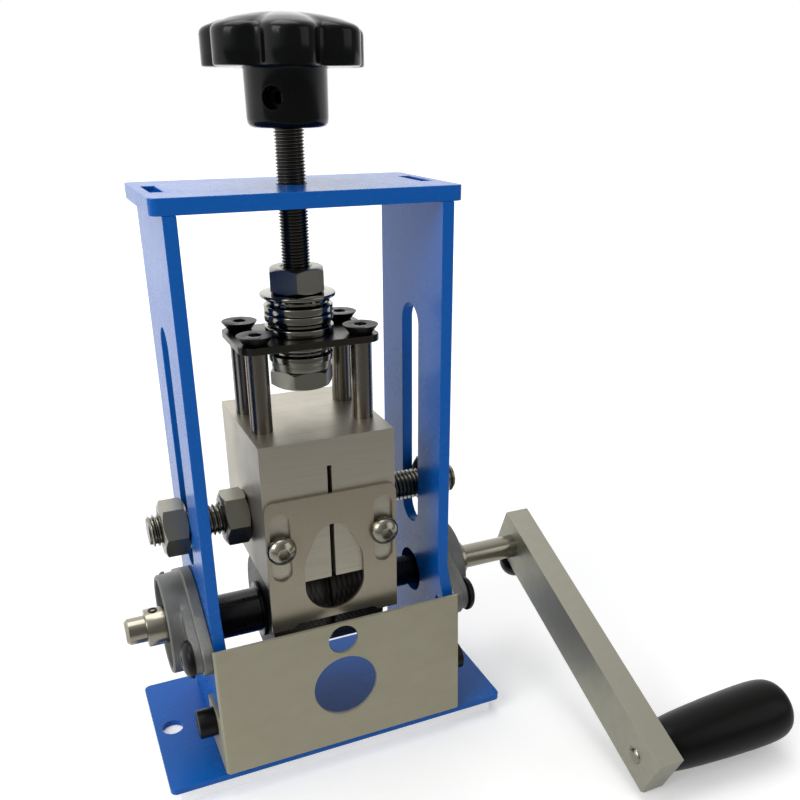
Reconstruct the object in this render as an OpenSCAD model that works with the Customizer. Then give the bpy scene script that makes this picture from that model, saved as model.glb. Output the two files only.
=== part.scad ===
// Hand-crank wire stripping machine.
// Millimetres. X runs to the right of the front view, Y to the back, Z up.
// The origin is on the underside of the base, below the axis of the lead screw.
// The drive shaft runs along X; the screw above it presses the cutting block down on the wheel.

/* [Base] */
// Width of the base plate along X
base_w = 164; // [150:1:190]
// Depth of the base plate along Y
base_d = 79.3; // [76:0.1:100]
// Thickness of the base plate
base_t = 3; // [2:0.5:5]
// How far the middle of the base plate sits in front of the shaft
base_fwd = 2.6; // [2:0.1:4]
// Corner radius of the base plate
base_corner_r = 3; // [1:0.5:8]
// Diameter of the two mounting holes
base_hole_d = 9.8; // [6:0.1:11]
// From a mounting hole's centre to the end of the base
base_hole_edge = 8.1; // [7:0.1:10]

/* [Side plates] */
// Distance over the outer faces of the two side plates
side_span = 112; // [110:1:120]
// Thickness of a side plate
side_t = 5; // [4:0.5:6]
// Depth of a side plate along Y
side_d = 64; // [60:1:72]
// Width of the guide slot for the cross rod
slot_w = 17.2; // [15:0.1:19]
// Height of the slot's lower end above the base's underside
slot_z0 = 89; // [86:1:92]
// Height of the slot's upper end
slot_z1 = 196; // [170:1:210]
// Hole round the drive shaft
side_shaft_hole_d = 22; // [19:0.5:30]
// How far the foot of a side plate comes forward
foot_flare = 6; // [2:0.5:8]
// Height where the forward foot starts
foot_z1 = 79; // [76:1:84]
// Height where the forward foot is full
foot_z0 = 65; // [50:1:72]

/* [Top plate] */
// Length of the top plate along X
top_w = 120; // [118:1:140]
// Thickness of the top plate
top_t = 6; // [4:0.5:10]
// Height of the top plate's upper face
frame_h = 248; // [240:1:262]
// Corner radius of the top plate
top_corner_r = 3; // [1:0.5:8]
// Length along Y of the tab that locks a side plate into the top plate
tab_len = 24.4; // [16:0.1:36]
// How far a tab stays below the top plate's upper face
tab_recess = 2; // [0.5:0.1:3]

/* [Front cover] */
// Thickness of the cover's sheet
sheet_t = 1.5; // [1:0.1:2]
// Height of the cover's lower edge
cover_z0 = 4.5; // [4:0.1:8]
// Height of the cover's upper edge
cover_z1 = 67.4; // [60:0.1:76]
// How far the cover's lower edge is in front of the shaft
cover_y0 = 44.4; // [43:0.1:48]
// How far the cover's upper edge is in front of the shaft
cover_y1 = 41.4; // [40.5:0.1:43]
// Diameter of the upper hole
cover_hole_s_d = 13.8; // [8:0.1:16]
// Height of the upper hole
cover_hole_s_z = 59; // [56:0.1:60]
// Diameter of the lower hole
cover_hole_l_d = 30; // [20:0.5:32]
// Height of the lower hole
cover_hole_l_z = 34.8; // [30:0.1:36]
// Height of a side flap at its front
flap_z1 = 33; // [31:1:45]
// Height of a side flap at its back
flap_z2 = 27; // [26:1:30]
// How far in front of the shaft a side flap ends
flap_y = 14; // [8:1:22]
// Height of the cover's bolts
cover_bolt_z = 22.5; // [17:0.5:23]
// How far the cover's bolts are in front of the shaft
cover_bolt_y = 27.5; // [26:0.5:32]
// Shank diameter of a cover bolt
cover_bolt_d = 6; // [5:0.5:8]
// Head diameter of a cover bolt
cover_head_d = 13; // [10:0.5:14]
// Head height of a cover bolt
cover_head_h = 8; // [5:0.5:9]

/* [Bearings] */
// Height of the drive shaft's axis
shaft_z = 61; // [60:0.5:62]
// Diameter of a bearing housing's boss
boss_d = 45; // [43:0.5:47]
// Width of a flange around the boss
flange_mid_d = 48; // [47:0.5:50]
// How far a housing stands out from its side plate
boss_h = 15.5; // [13:0.5:18]
// Thickness of a housing's flange
flange_t = 9; // [5:0.5:10]
// Distance between the two flange bolts
flange_pitch = 63; // [60:0.5:64]
// Width of a flange's rounded end
flange_end_d = 17; // [15:0.5:17.5]
// Diameter of the open face inside the boss rim
recess_d = 41; // [38:0.5:42]
// Depth of the open face
recess_h = 3; // [2:0.5:4]
// Outer diameter of the outer ring
outer_ring_d = 36; // [34:0.5:37]
// Inner diameter of the outer ring
race_bore_d = 28; // [24:0.5:30]
// Width of the outer ring
outer_ring_w = 11; // [8:0.5:12]
// Outer diameter of the inner ring
inner_ring_d = 17.2; // [16:0.1:20]
// Length of the inner ring
inner_ring_w = 21; // [18:0.5:22]
// How far the inner ring stands out from its side plate
inner_ring_out = 23.4; // [21:0.1:25]
// Thread of an inner ring's set screw
ring_screw_d = 4; // [3:0.5:5]
// Shank diameter of a flange bolt
flange_bolt_d = 6; // [5:0.5:8]
// Head diameter of a flange bolt
flange_head_d = 16.5; // [11:0.5:18]
// Head height of a flange bolt
flange_head_h = 4.5; // [4:0.5:7]

/* [Drive shaft] */
// Diameter of the drive shaft
shaft_d = 12; // [10:0.5:12.5]
// Where the shaft's free left end is, from the middle
shaft_left = 88.2; // [84:0.1:100]
// Chamfer of the shaft's ends
shaft_chamfer = 1.2; // [0.5:0.1:2]
// Diameter of the drive wheel
wheel_d = 49; // [46:0.5:49]
// Width of the drive wheel
wheel_w = 53; // [48:0.5:58]
// Width of the blade's groove in the wheel
groove_w = 4; // [3:0.1:8]
// Depth of that groove
groove_h = 4; // [3.5:0.1:6]
// Width and height of the key under the wheel
key_w = 4; // [3:0.5:5]
// Length of the key
key_len = 32; // [20:1:44]
// Outer diameter of the loose left sleeve
sleeve_d = 20.6; // [20:0.1:21.5]
// Wall of the left sleeve
sleeve_wall = 1.3; // [1:0.1:2]
// Diameter of the left sleeve's flange
sleeve_flange_d = 26; // [23:0.5:30]
// Thickness of that flange
sleeve_flange_t = 1.6; // [1:0.1:2.5]
// Outer diameter of the right spacer
spacer_d = 14.6; // [14:0.1:18]

/* [Crank] */
// Distance from the shaft's middle to the arm's inner face
arm_x = 109.8; // [100:0.1:125]
// Thickness of the crank arm
arm_t = 12.6; // [8:0.1:16]
// Width of the crank arm
arm_w = 25.6; // [20:0.1:30]
// From the shaft to the grip's bolt
arm_len = 124; // [90:1:150]
// From either hole to the arm's end
arm_end = 12.8; // [10:0.1:16]
// Angle of the arm below the level line in the photograph
arm_angle = 23.5; // [15:0.1:30]
// Thread of the screw that locks the arm on the shaft
arm_screw_d = 6; // [4:0.5:8]
// Head diameter of that screw
arm_head_d = 17; // [12:0.5:18]
// Head height of that screw
arm_head_h = 10.5; // [6:0.5:12]
// Shank diameter of the grip's bolt
grip_bolt_d = 8; // [6:0.5:9]
// How far that bolt shows on the arm's inner face
grip_bolt_out = 1.5; // [1:0.1:3]
// Length of the grip
grip_len = 70; // [60:1:90]
// Diameter of the grip at the arm
grip_d0 = 23; // [19:0.5:28]
// Largest diameter of the grip
grip_d1 = 30; // [26:0.5:34]
// Diameter of the grip at its outer end
grip_d2 = 25; // [21:0.5:29]
// Head diameter of the grip's bolt
grip_head_d = 13; // [11:0.5:15]
// Head height of the grip's bolt
grip_head_h = 6; // [4:0.5:8]

/* [Screw and knob] */
// Diameter of the lead screw
screw_d = 12; // [10:0.5:12.5]
// Height of the lead screw's lower end
screw_z0 = 166.2; // [165:0.1:168]
// Diameter of the knob over its lobes
knob_d = 62.3; // [54:0.1:72]
// Number of lobes
knob_lobes = 7; // [5:1:9]
// Radius of one lobe
lobe_r = 10.5; // [9:0.5:12]
// Height of the knob's rim
rim_h = 12.8; // [12:0.1:18]
// Height of the dome above the rim
dome_h = 5.5; // [3:0.5:7]
// How far the rim's underside is above the top plate
knob_rise = 41.2; // [32:0.1:52]
// Diameter of the knob's hub
hub_d = 31.6; // [26:0.1:36]
// Length of the knob's hub
hub_h = 20.7; // [14:0.1:22]
// Chamfer at the hub's lower edge
hub_chamfer = 2; // [1:0.5:4]
// Turn of the knob's lobes from the front in the photograph
knob_turn = 11.5; // [0:0.5:50]
// Turn of the knob's cross screw from the front
knob_screw_turn = 36.5; // [0:0.5:90]
// Thread of the knob's cross screw
knob_screw_d = 8; // [6:0.5:9]

/* [Press stack] */
// Across flats of the large nuts
nut_af = 21.8; // [20:0.1:24]
// Height of the upper nut
nut_h = 10.4; // [8:0.1:12]
// Turn of the upper nut's corner from X
nut_turn = 13.5; // [0:0.5:60]
// Outer diameter of the clamp washer
washer_d = 31.6; // [29:0.1:34]
// Thickness of the clamp washer
washer_t = 1.6; // [1:0.1:2.5]
// Outer diameter of a thrust bearing
thrust_d = 29; // [26:0.5:30]
// Outer diameter of the two lower thrust rings
low_thrust_d = 27.4; // [24:0.1:29]
// Thickness of a thrust ring
ring_t = 3.3; // [2.5:0.1:3.5]
// Gap for the upper thrust bearing's balls
ball_gap_a = 3.1; // [3:0.1:4]
// Gap for the middle thrust bearing's balls
ball_gap_b = 2.2; // [2:0.1:3]
// Thickness of a lower thrust ring
low_ring_t = 3; // [2.5:0.1:3]
// Gap for the lower thrust bearing's balls
ball_gap_c = 2.4; // [2:0.1:2.5]
// Diameter of the lower nut's collar
collar_d = 25.4; // [22:0.1:26]
// Height of the lower nut's collar
collar_h = 3.4; // [2:0.1:3.5]
// Width across flats of the lower nut
low_nut_af = 24; // [21:0.1:25]
// Height of the lower nut's hexagon
low_nut_h = 8; // [6:0.1:8.1]
// Turn of the lower nut's corner from X
low_nut_turn = 0.5; // [0:0.5:60]
// Height of the press plate's upper face
press_z = 188.8; // [188.7:0.1:189.2]
// Thickness of the press plate
press_t = 3; // [2.8:0.1:3.1]
// Width of the press plate along X
press_w = 60; // [55:0.5:61]
// Depth of the press plate along Y
press_d = 39; // [37:0.5:44]
// Corner radius of the press plate
press_r = 6; // [3:0.5:8]
// Spacing of the posts along X
post_x = 45; // [42:0.5:46]
// Spacing of the posts along Y
post_y = 26; // [24:0.5:27]
// Diameter of a post
post_d = 9.2; // [8:0.1:10]
// Shank diameter of a post screw
post_screw_d = 5; // [4:0.1:5.5]
// Head diameter of a post screw
post_head_d = 15.2; // [12:0.1:16]
// Height of a post screw's cone
post_head_h = 4.4; // [3:0.1:5]
// How far a cone sits in the press plate
post_head_in = 0.6; // [0.3:0.1:1]
// Across flats of a post screw's hexagon socket
socket_af = 5; // [3:0.5:6]
// Depth of that socket
socket_h = 2.4; // [1.5:0.1:3]

/* [Cutting block] */
// Width of the block along X
block_w = 59; // [56:0.5:62]
// Depth of the block along Y
block_d = 64; // [60:0.5:72]
// Height of the block's underside
block_z0 = 86.5; // [86.3:0.1:87.5]
// Height of the block's upper face
block_z1 = 151.7; // [150:0.1:154]
// Width of the saw slit for the blade
slit_w = 2; // [1.6:0.1:2.6]
// Height of the slit's upper end
slit_z1 = 139.5; // [136:0.5:142]
// Diameter of the cross rod
rod_d = 14; // [12:0.5:14.5]
// Height of the cross rod's axis
rod_z = 108.5; // [108:0.5:110]
// How far the cross rod reaches to either side
rod_half = 72.5; // [70:0.5:80]
// Thickness of a cross rod nut
rod_nut_t = 11; // [8:0.5:12]
// Diameter of the cutting blade
blade_d = 50; // [48:0.5:51]
// Thickness of the cutting blade
blade_t = 1.2; // [0.8:0.1:1.4]
// Width of the blade's sharpened edge
blade_edge = 2; // [1:0.5:4]

/* [Wire guide] */
// Width of the guide plate
guide_w = 59; // [56:0.5:62]
// Thickness of the guide plate
guide_t = 1.5; // [1:0.1:2]
// Height of the guide plate's lower edge
guide_z0 = 65; // [62:0.5:67]
// Height of the guide plate's upper edge
guide_z1 = 127.4; // [124:0.1:132]
// Corner radius at the guide plate's top
guide_r = 4.5; // [2:0.5:8]
// Distance between the two slots
guide_pitch = 46.4; // [44:0.1:47]
// Width of a slot
guide_slot_w = 8.6; // [8.4:0.1:10]
// Height of a slot's lower end
guide_slot_z0 = 90; // [88:0.5:92]
// Height of a slot's upper end
guide_slot_z1 = 121.8; // [119:0.1:122]
// Height of the guide screws
guide_screw_z = 105.3; // [104:0.1:107]
// Shank diameter of a guide screw
guide_screw_d = 8; // [6:0.5:8]
// Head diameter of a guide screw
guide_head_d = 12.8; // [11:0.1:14]
// Head height of a guide screw
guide_head_h = 5; // [3:0.5:6]
// Width of the wire hole
egg_w = 27; // [24:0.5:28]
// Width of the wire hole near its top
egg_top_w = 17; // [14:0.5:20]
// Height of the wire hole's lower end
egg_z0 = 71; // [70:0.5:73]
// Height of the wire hole's upper end
egg_z1 = 113; // [110:0.5:116]
// Height of the wire hole's widest part
egg_mid = 93; // [91:0.5:95]
// Depth of the notch in the guide plate's lower edge
notch_h = 2; // [1:0.1:3]
// Width of that notch
notch_w = 36; // [30:0.5:40]

/* [Fits] */
// Gap all round a part that turns or slides in a hole
run_gap = 0.05; // [0.03:0.01:0.08]
// Gap between flat faces that slide on each other
face_gap = 0.1; // [0.05:0.05:0.3]
// Radial gap round a bolt in its clearance hole
bolt_gap = 0.3; // [0.1:0.05:0.4]

/* [Part] */
// Which node to draw

/* [Hidden] */
$fn = 64;

side_x = side_span / 2;
side_in = side_x - side_t;
side_top = frame_h - top_t;
knob_z = frame_h + knob_rise;
tab_h = top_t - tab_recess;
cut = base_t / 3;
hex_k = 1 / cos(30);
nut_r = nut_af * hex_k / 2;
wheel_half = wheel_w / 2;
sleeve_id = sleeve_d - 2 * sleeve_wall;
sleeve_drop = sleeve_id / 2 - shaft_d / 2 - run_gap;
shaft_len = shaft_left + arm_x + arm_t;
ring_in = side_x + inner_ring_out - inner_ring_w;
ring_a0 = press_z;
ring_a1 = ring_a0 + ring_t;
ring_b0 = ring_a1 + ball_gap_b;
ring_c0 = ring_b0 + 2 * ring_t;
washer_z = ring_c0 + ball_gap_a;
nut_z = washer_z + washer_t;
press_z0 = press_z - press_t;
low_a0 = press_z0 - low_ring_t;
low_b1 = low_a0 - ball_gap_c;
low_b0 = low_b1 - low_ring_t;
collar_z = low_b0 - collar_h;
low_nut_z = collar_z - low_nut_h;
knob_top = knob_z + rim_h + dome_h;
hub_z = knob_z - hub_h;
cage_d = thrust_d - 2 * ring_t / 3;
socket_floor = press_z - post_head_in + post_head_h - socket_h;
flap_x = side_x + sheet_t;
grip_dm = grip_d1 - (grip_d1 - grip_d0) / 4;
grip_de = grip_d1 - (grip_d1 - grip_d2) / 3;

blue = [0.10, 0.28, 0.66];
steel = [0.68, 0.67, 0.63];
dark = [0.06, 0.06, 0.07];
cast = [0.36, 0.37, 0.37];
bare = [0.56, 0.54, 0.50];

// A cylinder along X from x0 to x1 on the line y, z.
module xcyl(d, x0, x1, y, z) {
    translate([x0, y, z]) rotate([0, 90, 0]) cylinder(d = d, h = x1 - x0);
}

// A cylinder along Y from y0 to y1 on the line x, z.
module ycyl(d, y0, y1, x, z) {
    translate([x, y0, z]) rotate([-90, 0, 0]) cylinder(d = d, h = y1 - y0);
}

// A ring along Z with its lower face at z.
module zring(d, bore, z, h) {
    translate([0, 0, z]) difference() {
        cylinder(d = d, h = h);
        translate([0, 0, -cut]) cylinder(d = bore, h = h + 2 * cut);
    }
}

// A hexagon along Z with a bore, its lower face at z and a corner turned from X.
module hex_nut(af, bore, z, h, turn) {
    translate([0, 0, z]) difference() {
        rotate(turn) cylinder(d = af * hex_k, h = h, $fn = 6);
        translate([0, 0, -cut]) cylinder(d = bore, h = h + 2 * cut);
    }
}

// A flat plate with four round corners, centred on x and y, its lower face at z.
module round_plate(w, d, t, r, z) {
    translate([-w / 2 + r, -d / 2, z]) cube([w - 2 * r, d, t]);
    translate([-w / 2, -d / 2 + r, z]) cube([w, d - 2 * r, t]);
    for (i = [-1, 1], j = [-1, 1])
        translate([i * (w / 2 - r), j * (d / 2 - r), z]) cylinder(r = r, h = t);
}

// A slot through a plate that is normal to X.
module x_slot(w, z0, z1, x0, x1) {
    xcyl(w, x0, x1, 0, z0 + w / 2);
    xcyl(w, x0, x1, 0, z1 - w / 2);
    translate([x0, -w / 2, z0 + w / 2]) cube([x1 - x0, w, z1 - z0 - w]);
}

module base_plate() {
    color(blue) difference() {
        translate([0, -base_fwd, 0]) round_plate(base_w, base_d, base_t, base_corner_r, 0);
        for (i = [-1, 1])
            translate([i * (base_w / 2 - base_hole_edge), 0, -cut])
                cylinder(d = base_hole_d, h = base_t + 2 * cut);
    }
}

// One side plate, drawn on the right; its inner face is at side_in.
module side_plate() {
    color(blue) difference() {
        translate([side_in, 0, 0]) rotate([90, 0, 90]) linear_extrude(side_t) polygon([
            [side_d / 2, base_t], [side_d / 2, side_top], [tab_len / 2, side_top],
            [tab_len / 2, side_top + tab_h], [-tab_len / 2, side_top + tab_h],
            [-tab_len / 2, side_top], [-side_d / 2, side_top], [-side_d / 2, foot_z1],
            [-side_d / 2 - foot_flare, foot_z0], [-side_d / 2 - foot_flare, base_t]]);
        x_slot(slot_w, slot_z0, slot_z1, side_in - cut, side_x + cut);
        xcyl(side_shaft_hole_d, side_in - cut, side_x + cut, 0, shaft_z);
        for (j = [-1, 1])
            xcyl(flange_bolt_d, side_in + side_t / 5, side_x + cut, j * flange_pitch / 2, shaft_z);
        xcyl(cover_bolt_d, side_in - cut, side_x + cut, -cover_bolt_y, cover_bolt_z);
    }
}

module left_side_plate() {
    mirror([1, 0, 0]) side_plate();
}

module right_side_plate() {
    side_plate();
}

module top_plate() {
    color(blue) difference() {
        round_plate(top_w, side_d, top_t, top_corner_r, side_top);
        translate([0, 0, side_top - cut])
            cylinder(d = screw_d + 2 * run_gap, h = top_t + 2 * cut);
        for (i = [-1, 1])
            translate([i * (side_x - side_t / 2) - side_t / 2, -tab_len / 2, side_top - cut])
                cube([side_t, tab_len, top_t + 2 * cut]);
    }
}

module front_cover() {
    color(bare) {
        difference() {
            translate([-flap_x, 0, 0]) rotate([90, 0, 90]) linear_extrude(2 * flap_x) polygon([
                [-cover_y0, cover_z0], [-cover_y0 + sheet_t, cover_z0],
                [-cover_y1 + sheet_t, cover_z1], [-cover_y1, cover_z1]]);
            ycyl(cover_hole_s_d, -cover_y0 - cut, -cover_y1 + 2 * sheet_t, 0, cover_hole_s_z);
            ycyl(cover_hole_l_d, -cover_y0 - cut, -cover_y1 + 2 * sheet_t, 0, cover_hole_l_z);
        }
        for (i = [0, 1]) mirror([i, 0, 0]) difference() {
            translate([side_x, 0, 0]) rotate([90, 0, 90]) linear_extrude(sheet_t) polygon([
                [-cover_y0 + sheet_t / 2, cover_z0], [-flap_y - sheet_t, cover_z0],
                [-flap_y, cover_z0 + 2 * sheet_t], [-flap_y, flap_z2], [-cover_y0 + 2 * sheet_t, flap_z1]]);
            xcyl(cover_bolt_d + 2 * bolt_gap, side_x - cut, flap_x + cut,
                -cover_bolt_y, cover_bolt_z);
        }
    }
}

// A socket head bolt that holds the cover on a side plate.
module cover_bolt() {
    color(dark) {
        xcyl(cover_bolt_d, side_in, flap_x + cover_head_h / 2, -cover_bolt_y, cover_bolt_z);
        difference() {
            xcyl(cover_head_d, flap_x, flap_x + cover_head_h, -cover_bolt_y, cover_bolt_z);
            translate([flap_x + cover_head_h / 2, -cover_bolt_y, cover_bolt_z]) rotate([0, 90, 0])
                cylinder(d = cover_head_d / 2, h = cover_head_h, $fn = 6);
        }
    }
}

module left_cover_bolt() {
    mirror([1, 0, 0]) cover_bolt();
}

module right_cover_bolt() {
    cover_bolt();
}

// The flange of a housing: a round middle and two round ends joined by tangent lines.
module flange_form() {
    p = flange_pitch / 2;
    c = (flange_mid_d - flange_end_d) / 2 / p;
    s = sqrt(1 - c * c);
    rb = flange_mid_d / 2;
    re = flange_end_d / 2;
    xcyl(flange_mid_d, side_x, side_x + flange_t, 0, shaft_z);
    for (j = [-1, 1]) xcyl(flange_end_d, side_x, side_x + flange_t, j * p, shaft_z);
    translate([side_x, 0, shaft_z]) rotate([90, 0, 90]) linear_extrude(flange_t) polygon([
        [rb * c, rb * s], [-rb * c, rb * s], [-p - re * c, re * s], [-p - re * c, -re * s],
        [-rb * c, -rb * s], [rb * c, -rb * s], [p + re * c, -re * s], [p + re * c, re * s]]);
}

module housing() {
    color(cast) difference() {
        union() {
            flange_form();
            xcyl(boss_d, side_x, side_x + boss_h, 0, shaft_z);
        }
        xcyl(outer_ring_d, side_x - cut, side_x + boss_h + cut, 0, shaft_z);
        xcyl(recess_d, side_x + boss_h - recess_h, side_x + boss_h + cut, 0, shaft_z);
        for (j = [-1, 1])
            xcyl(flange_bolt_d + 2 * bolt_gap, side_x - cut, side_x + flange_t + cut,
                j * flange_pitch / 2, shaft_z);
    }
}

module left_housing() {
    mirror([1, 0, 0]) housing();
}

module right_housing() {
    housing();
}

module outer_ring() {
    x1 = side_x + boss_h - recess_h;
    color(bare) difference() {
        xcyl(outer_ring_d, x1 - outer_ring_w, x1, 0, shaft_z);
        xcyl(race_bore_d, x1 - outer_ring_w - cut, x1 + cut, 0, shaft_z);
    }
}

module left_outer_ring() {
    mirror([1, 0, 0]) outer_ring();
}

module right_outer_ring() {
    outer_ring();
}

// The balls, cage and seals of one bearing, drawn as one ring.
module ball_row() {
    x1 = side_x + boss_h - recess_h - sheet_t / 2;
    color(dark) difference() {
        xcyl(race_bore_d, x1 - outer_ring_w + sheet_t, x1, 0, shaft_z);
        xcyl(inner_ring_d + 2 * run_gap, x1 - outer_ring_w, x1 + cut, 0, shaft_z);
    }
}

module left_ball_row() {
    mirror([1, 0, 0]) ball_row();
}

module right_ball_row() {
    ball_row();
}

module inner_ring() {
    x1 = side_x + inner_ring_out;
    color(steel) difference() {
        xcyl(inner_ring_d, ring_in, x1, 0, shaft_z);
        xcyl(shaft_d, ring_in - cut, x1 + cut, 0, shaft_z);
        translate([x1 - ring_screw_d, 0, shaft_z]) cylinder(d = ring_screw_d, h = inner_ring_d);
    }
}

module left_inner_ring() {
    mirror([1, 0, 0]) inner_ring();
}

module right_inner_ring() {
    inner_ring();
}

// The set screw that locks an inner ring on the shaft.
module ring_screw() {
    x1 = side_x + inner_ring_out - ring_screw_d;
    color(dark) translate([x1, 0, shaft_z + shaft_d / 2])
        cylinder(d = ring_screw_d, h = (inner_ring_d - shaft_d) / 2 - sheet_t / 4);
}

module left_ring_screw() {
    mirror([1, 0, 0]) ring_screw();
}

module right_ring_screw() {
    ring_screw();
}

// Two button head bolts through one housing, screwed into blind holes of its side plate.
module flange_bolts() {
    x1 = side_x + flange_t;
    color(dark) for (j = [-1, 1]) {
        xcyl(flange_bolt_d, side_in + side_t / 5, x1 + flange_head_h / 2,
            j * flange_pitch / 2, shaft_z);
        translate([x1, j * flange_pitch / 2, shaft_z]) rotate([0, 90, 0])
            cylinder(d1 = flange_head_d, d2 = flange_head_d / 2, h = flange_head_h);
    }
}

module left_flange_bolts() {
    mirror([1, 0, 0]) flange_bolts();
}

module right_flange_bolts() {
    flange_bolts();
}

module drive_shaft() {
    color(bare) difference() {
        union() {
            xcyl(shaft_d, -shaft_left + shaft_chamfer, arm_x + arm_t, 0, shaft_z);
            translate([-shaft_left, 0, shaft_z]) rotate([0, 90, 0])
                cylinder(d1 = shaft_d - 2 * shaft_chamfer, d2 = shaft_d, h = shaft_chamfer);
        }
        translate([-key_len / 2, -key_w / 2, shaft_z + shaft_d / 2 - key_w / 2])
            cube([key_len, key_w, key_w]);
    }
}

// The hub of the wheel, with its keyway. It is the floor of the blade's groove.
module drive_wheel() {
    color(cast) difference() {
        xcyl(wheel_d - 2 * groove_h, -wheel_half, wheel_half, 0, shaft_z);
        xcyl(shaft_d, -wheel_half - cut, wheel_half + cut, 0, shaft_z);
        translate([-key_len / 2, -key_w / 2, shaft_z + shaft_d / 2 - key_w / 2])
            cube([key_len, key_w, key_w]);
    }
}

// A knurled ring on the hub, drawn on the right of the groove.
module roller() {
    color(cast) difference() {
        xcyl(wheel_d, groove_w / 2, wheel_half, 0, shaft_z);
        xcyl(wheel_d - 2 * groove_h, groove_w / 2 - cut, wheel_half + cut, 0, shaft_z);
    }
}

module left_roller() {
    mirror([1, 0, 0]) roller();
}

module right_roller() {
    roller();
}

module wheel_key() {
    color(steel) translate([-key_len / 2, -key_w / 2, shaft_z + shaft_d / 2 - key_w / 2])
        cube([key_len, key_w, key_w]);
}

// The loose left sleeve hangs on the shaft, so its axis is below the shaft's.
module left_sleeve() {
    x1 = -wheel_half - face_gap;
    zs = shaft_z - sleeve_drop;
    color(dark) difference() {
        union() {
            xcyl(sleeve_d, -side_in, x1, 0, zs);
            xcyl(sleeve_flange_d, x1 - sleeve_flange_t, x1, 0, zs);
        }
        xcyl(sleeve_id, -side_in - cut, x1 + cut, 0, zs);
    }
}

module right_spacer() {
    color(dark) difference() {
        xcyl(spacer_d, wheel_half, ring_in, 0, shaft_z);
        xcyl(shaft_d, wheel_half - cut, ring_in + cut, 0, shaft_z);
    }
}

module crank_arm() {
    color(steel) translate([0, 0, shaft_z]) rotate([arm_angle, 0, 0]) difference() {
        translate([arm_x, -arm_len - arm_end, -arm_w / 2])
            cube([arm_t, arm_len + 2 * arm_end, arm_w]);
        xcyl(shaft_d, arm_x - cut, arm_x + arm_t + cut, 0, 0);
        xcyl(grip_bolt_d, arm_x - cut, arm_x + arm_t + cut, -arm_len, 0);
        translate([arm_x + arm_t / 2, 0, -arm_w])
            cylinder(d = arm_screw_d, h = arm_w);
    }
}

// The screw that comes through the arm's lower edge and bears on the shaft.
module arm_screw() {
    color(dark) translate([0, 0, shaft_z]) rotate([arm_angle, 0, 0])
        translate([arm_x + arm_t / 2, 0, 0]) {
            translate([0, 0, -arm_w / 2 - arm_head_h / 2])
                cylinder(d = arm_screw_d, h = arm_w / 2 - shaft_d / 2 + arm_head_h / 2);
            translate([0, 0, -arm_w / 2 - arm_head_h / 2])
                cylinder(d1 = arm_head_d * 0.86, d2 = arm_head_d, h = arm_head_h / 2);
            translate([0, 0, -arm_w / 2 - arm_head_h])
                cylinder(d1 = arm_head_d / 2, d2 = arm_head_d * 0.86, h = arm_head_h / 2);
        }
}

module grip_bolt() {
    xe = arm_x + arm_t + face_gap + grip_len;
    color(steel) translate([0, 0, shaft_z]) rotate([arm_angle, 0, 0]) {
        xcyl(grip_bolt_d, arm_x - grip_bolt_out, xe - grip_head_h, -arm_len, 0);
        xcyl(grip_head_d, xe - grip_head_h, xe - grip_head_h / 3, -arm_len, 0);
    }
}

module grip() {
    x0 = arm_x + arm_t + face_gap;
    color(dark) translate([0, 0, shaft_z]) rotate([arm_angle, 0, 0])
        translate([x0, -arm_len, 0]) rotate([0, 90, 0]) difference() {
            union() {
                cylinder(d1 = grip_d0, d2 = grip_dm, h = grip_len * 0.45);
                translate([0, 0, grip_len * 0.45])
                    cylinder(d1 = grip_dm, d2 = grip_d1, h = grip_len * 0.35);
                translate([0, 0, grip_len * 0.8])
                    cylinder(d1 = grip_d1, d2 = grip_de, h = grip_len * 0.13);
                translate([0, 0, grip_len * 0.93])
                    cylinder(d1 = grip_de, d2 = grip_d2, h = grip_len * 0.07);
            }
            translate([0, 0, -cut])
                cylinder(d = grip_bolt_d + 2 * run_gap, h = grip_len + 2 * cut);
            translate([0, 0, grip_len - grip_head_h - face_gap])
                cylinder(d = grip_head_d + 2 * bolt_gap, h = grip_head_h + face_gap + cut);
        }
}

module lead_screw() {
    color(bare) difference() {
        translate([0, 0, screw_z0]) cylinder(d = screw_d, h = knob_z + rim_h / 2 - screw_z0);
        rotate(-knob_screw_turn) ycyl(knob_screw_d, -hub_d, hub_d, 0, knob_z - hub_h / 2);
    }
}

module knob() {
    color(dark) difference() {
        union() {
            translate([0, 0, hub_z + hub_chamfer]) cylinder(d = hub_d, h = hub_h - hub_chamfer);
            translate([0, 0, hub_z])
                cylinder(d1 = hub_d - 2 * hub_chamfer, d2 = hub_d, h = hub_chamfer);
            translate([0, 0, knob_z]) intersection() {
                union() {
                    cylinder(d = knob_d - lobe_r, h = rim_h + dome_h);
                    for (k = [1:knob_lobes]) rotate(k * 360 / knob_lobes - knob_turn)
                        translate([0, -(knob_d / 2 - lobe_r), 0])
                            cylinder(r = lobe_r, h = rim_h + dome_h);
                }
                rotate_extrude() polygon([[0, 0], [knob_d / 2, 0],
                    [knob_d / 2, rim_h - dome_h / 4], [knob_d / 2 - lobe_r / 4, rim_h + dome_h / 5],
                    [knob_d / 3, rim_h + dome_h / 2], [knob_d / 5, rim_h + dome_h * 5 / 6],
                    [knob_d / 12, rim_h + dome_h], [0, rim_h + dome_h]]);
            }
        }
        translate([0, 0, hub_z - cut]) cylinder(d = screw_d, h = hub_h + rim_h / 2 + cut);
        rotate(-knob_screw_turn) ycyl(knob_screw_d, -hub_d, hub_d, 0, knob_z - hub_h / 2);
    }
}

// The cross screw sits below the surface of the hub.
module knob_screw() {
    color(dark) rotate(-knob_screw_turn)
        ycyl(knob_screw_d, -hub_d * 0.34, hub_d * 0.34, 0, knob_z - hub_h / 2);
}

module upper_nut() {
    color(steel) hex_nut(nut_af, screw_d, nut_z, nut_h, nut_turn);
}

module clamp_washer() {
    color(steel) zring(washer_d, screw_d, washer_z, washer_t);
}

module upper_balls() {
    color(dark) zring(cage_d, screw_d, ring_c0, ball_gap_a);
}

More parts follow.
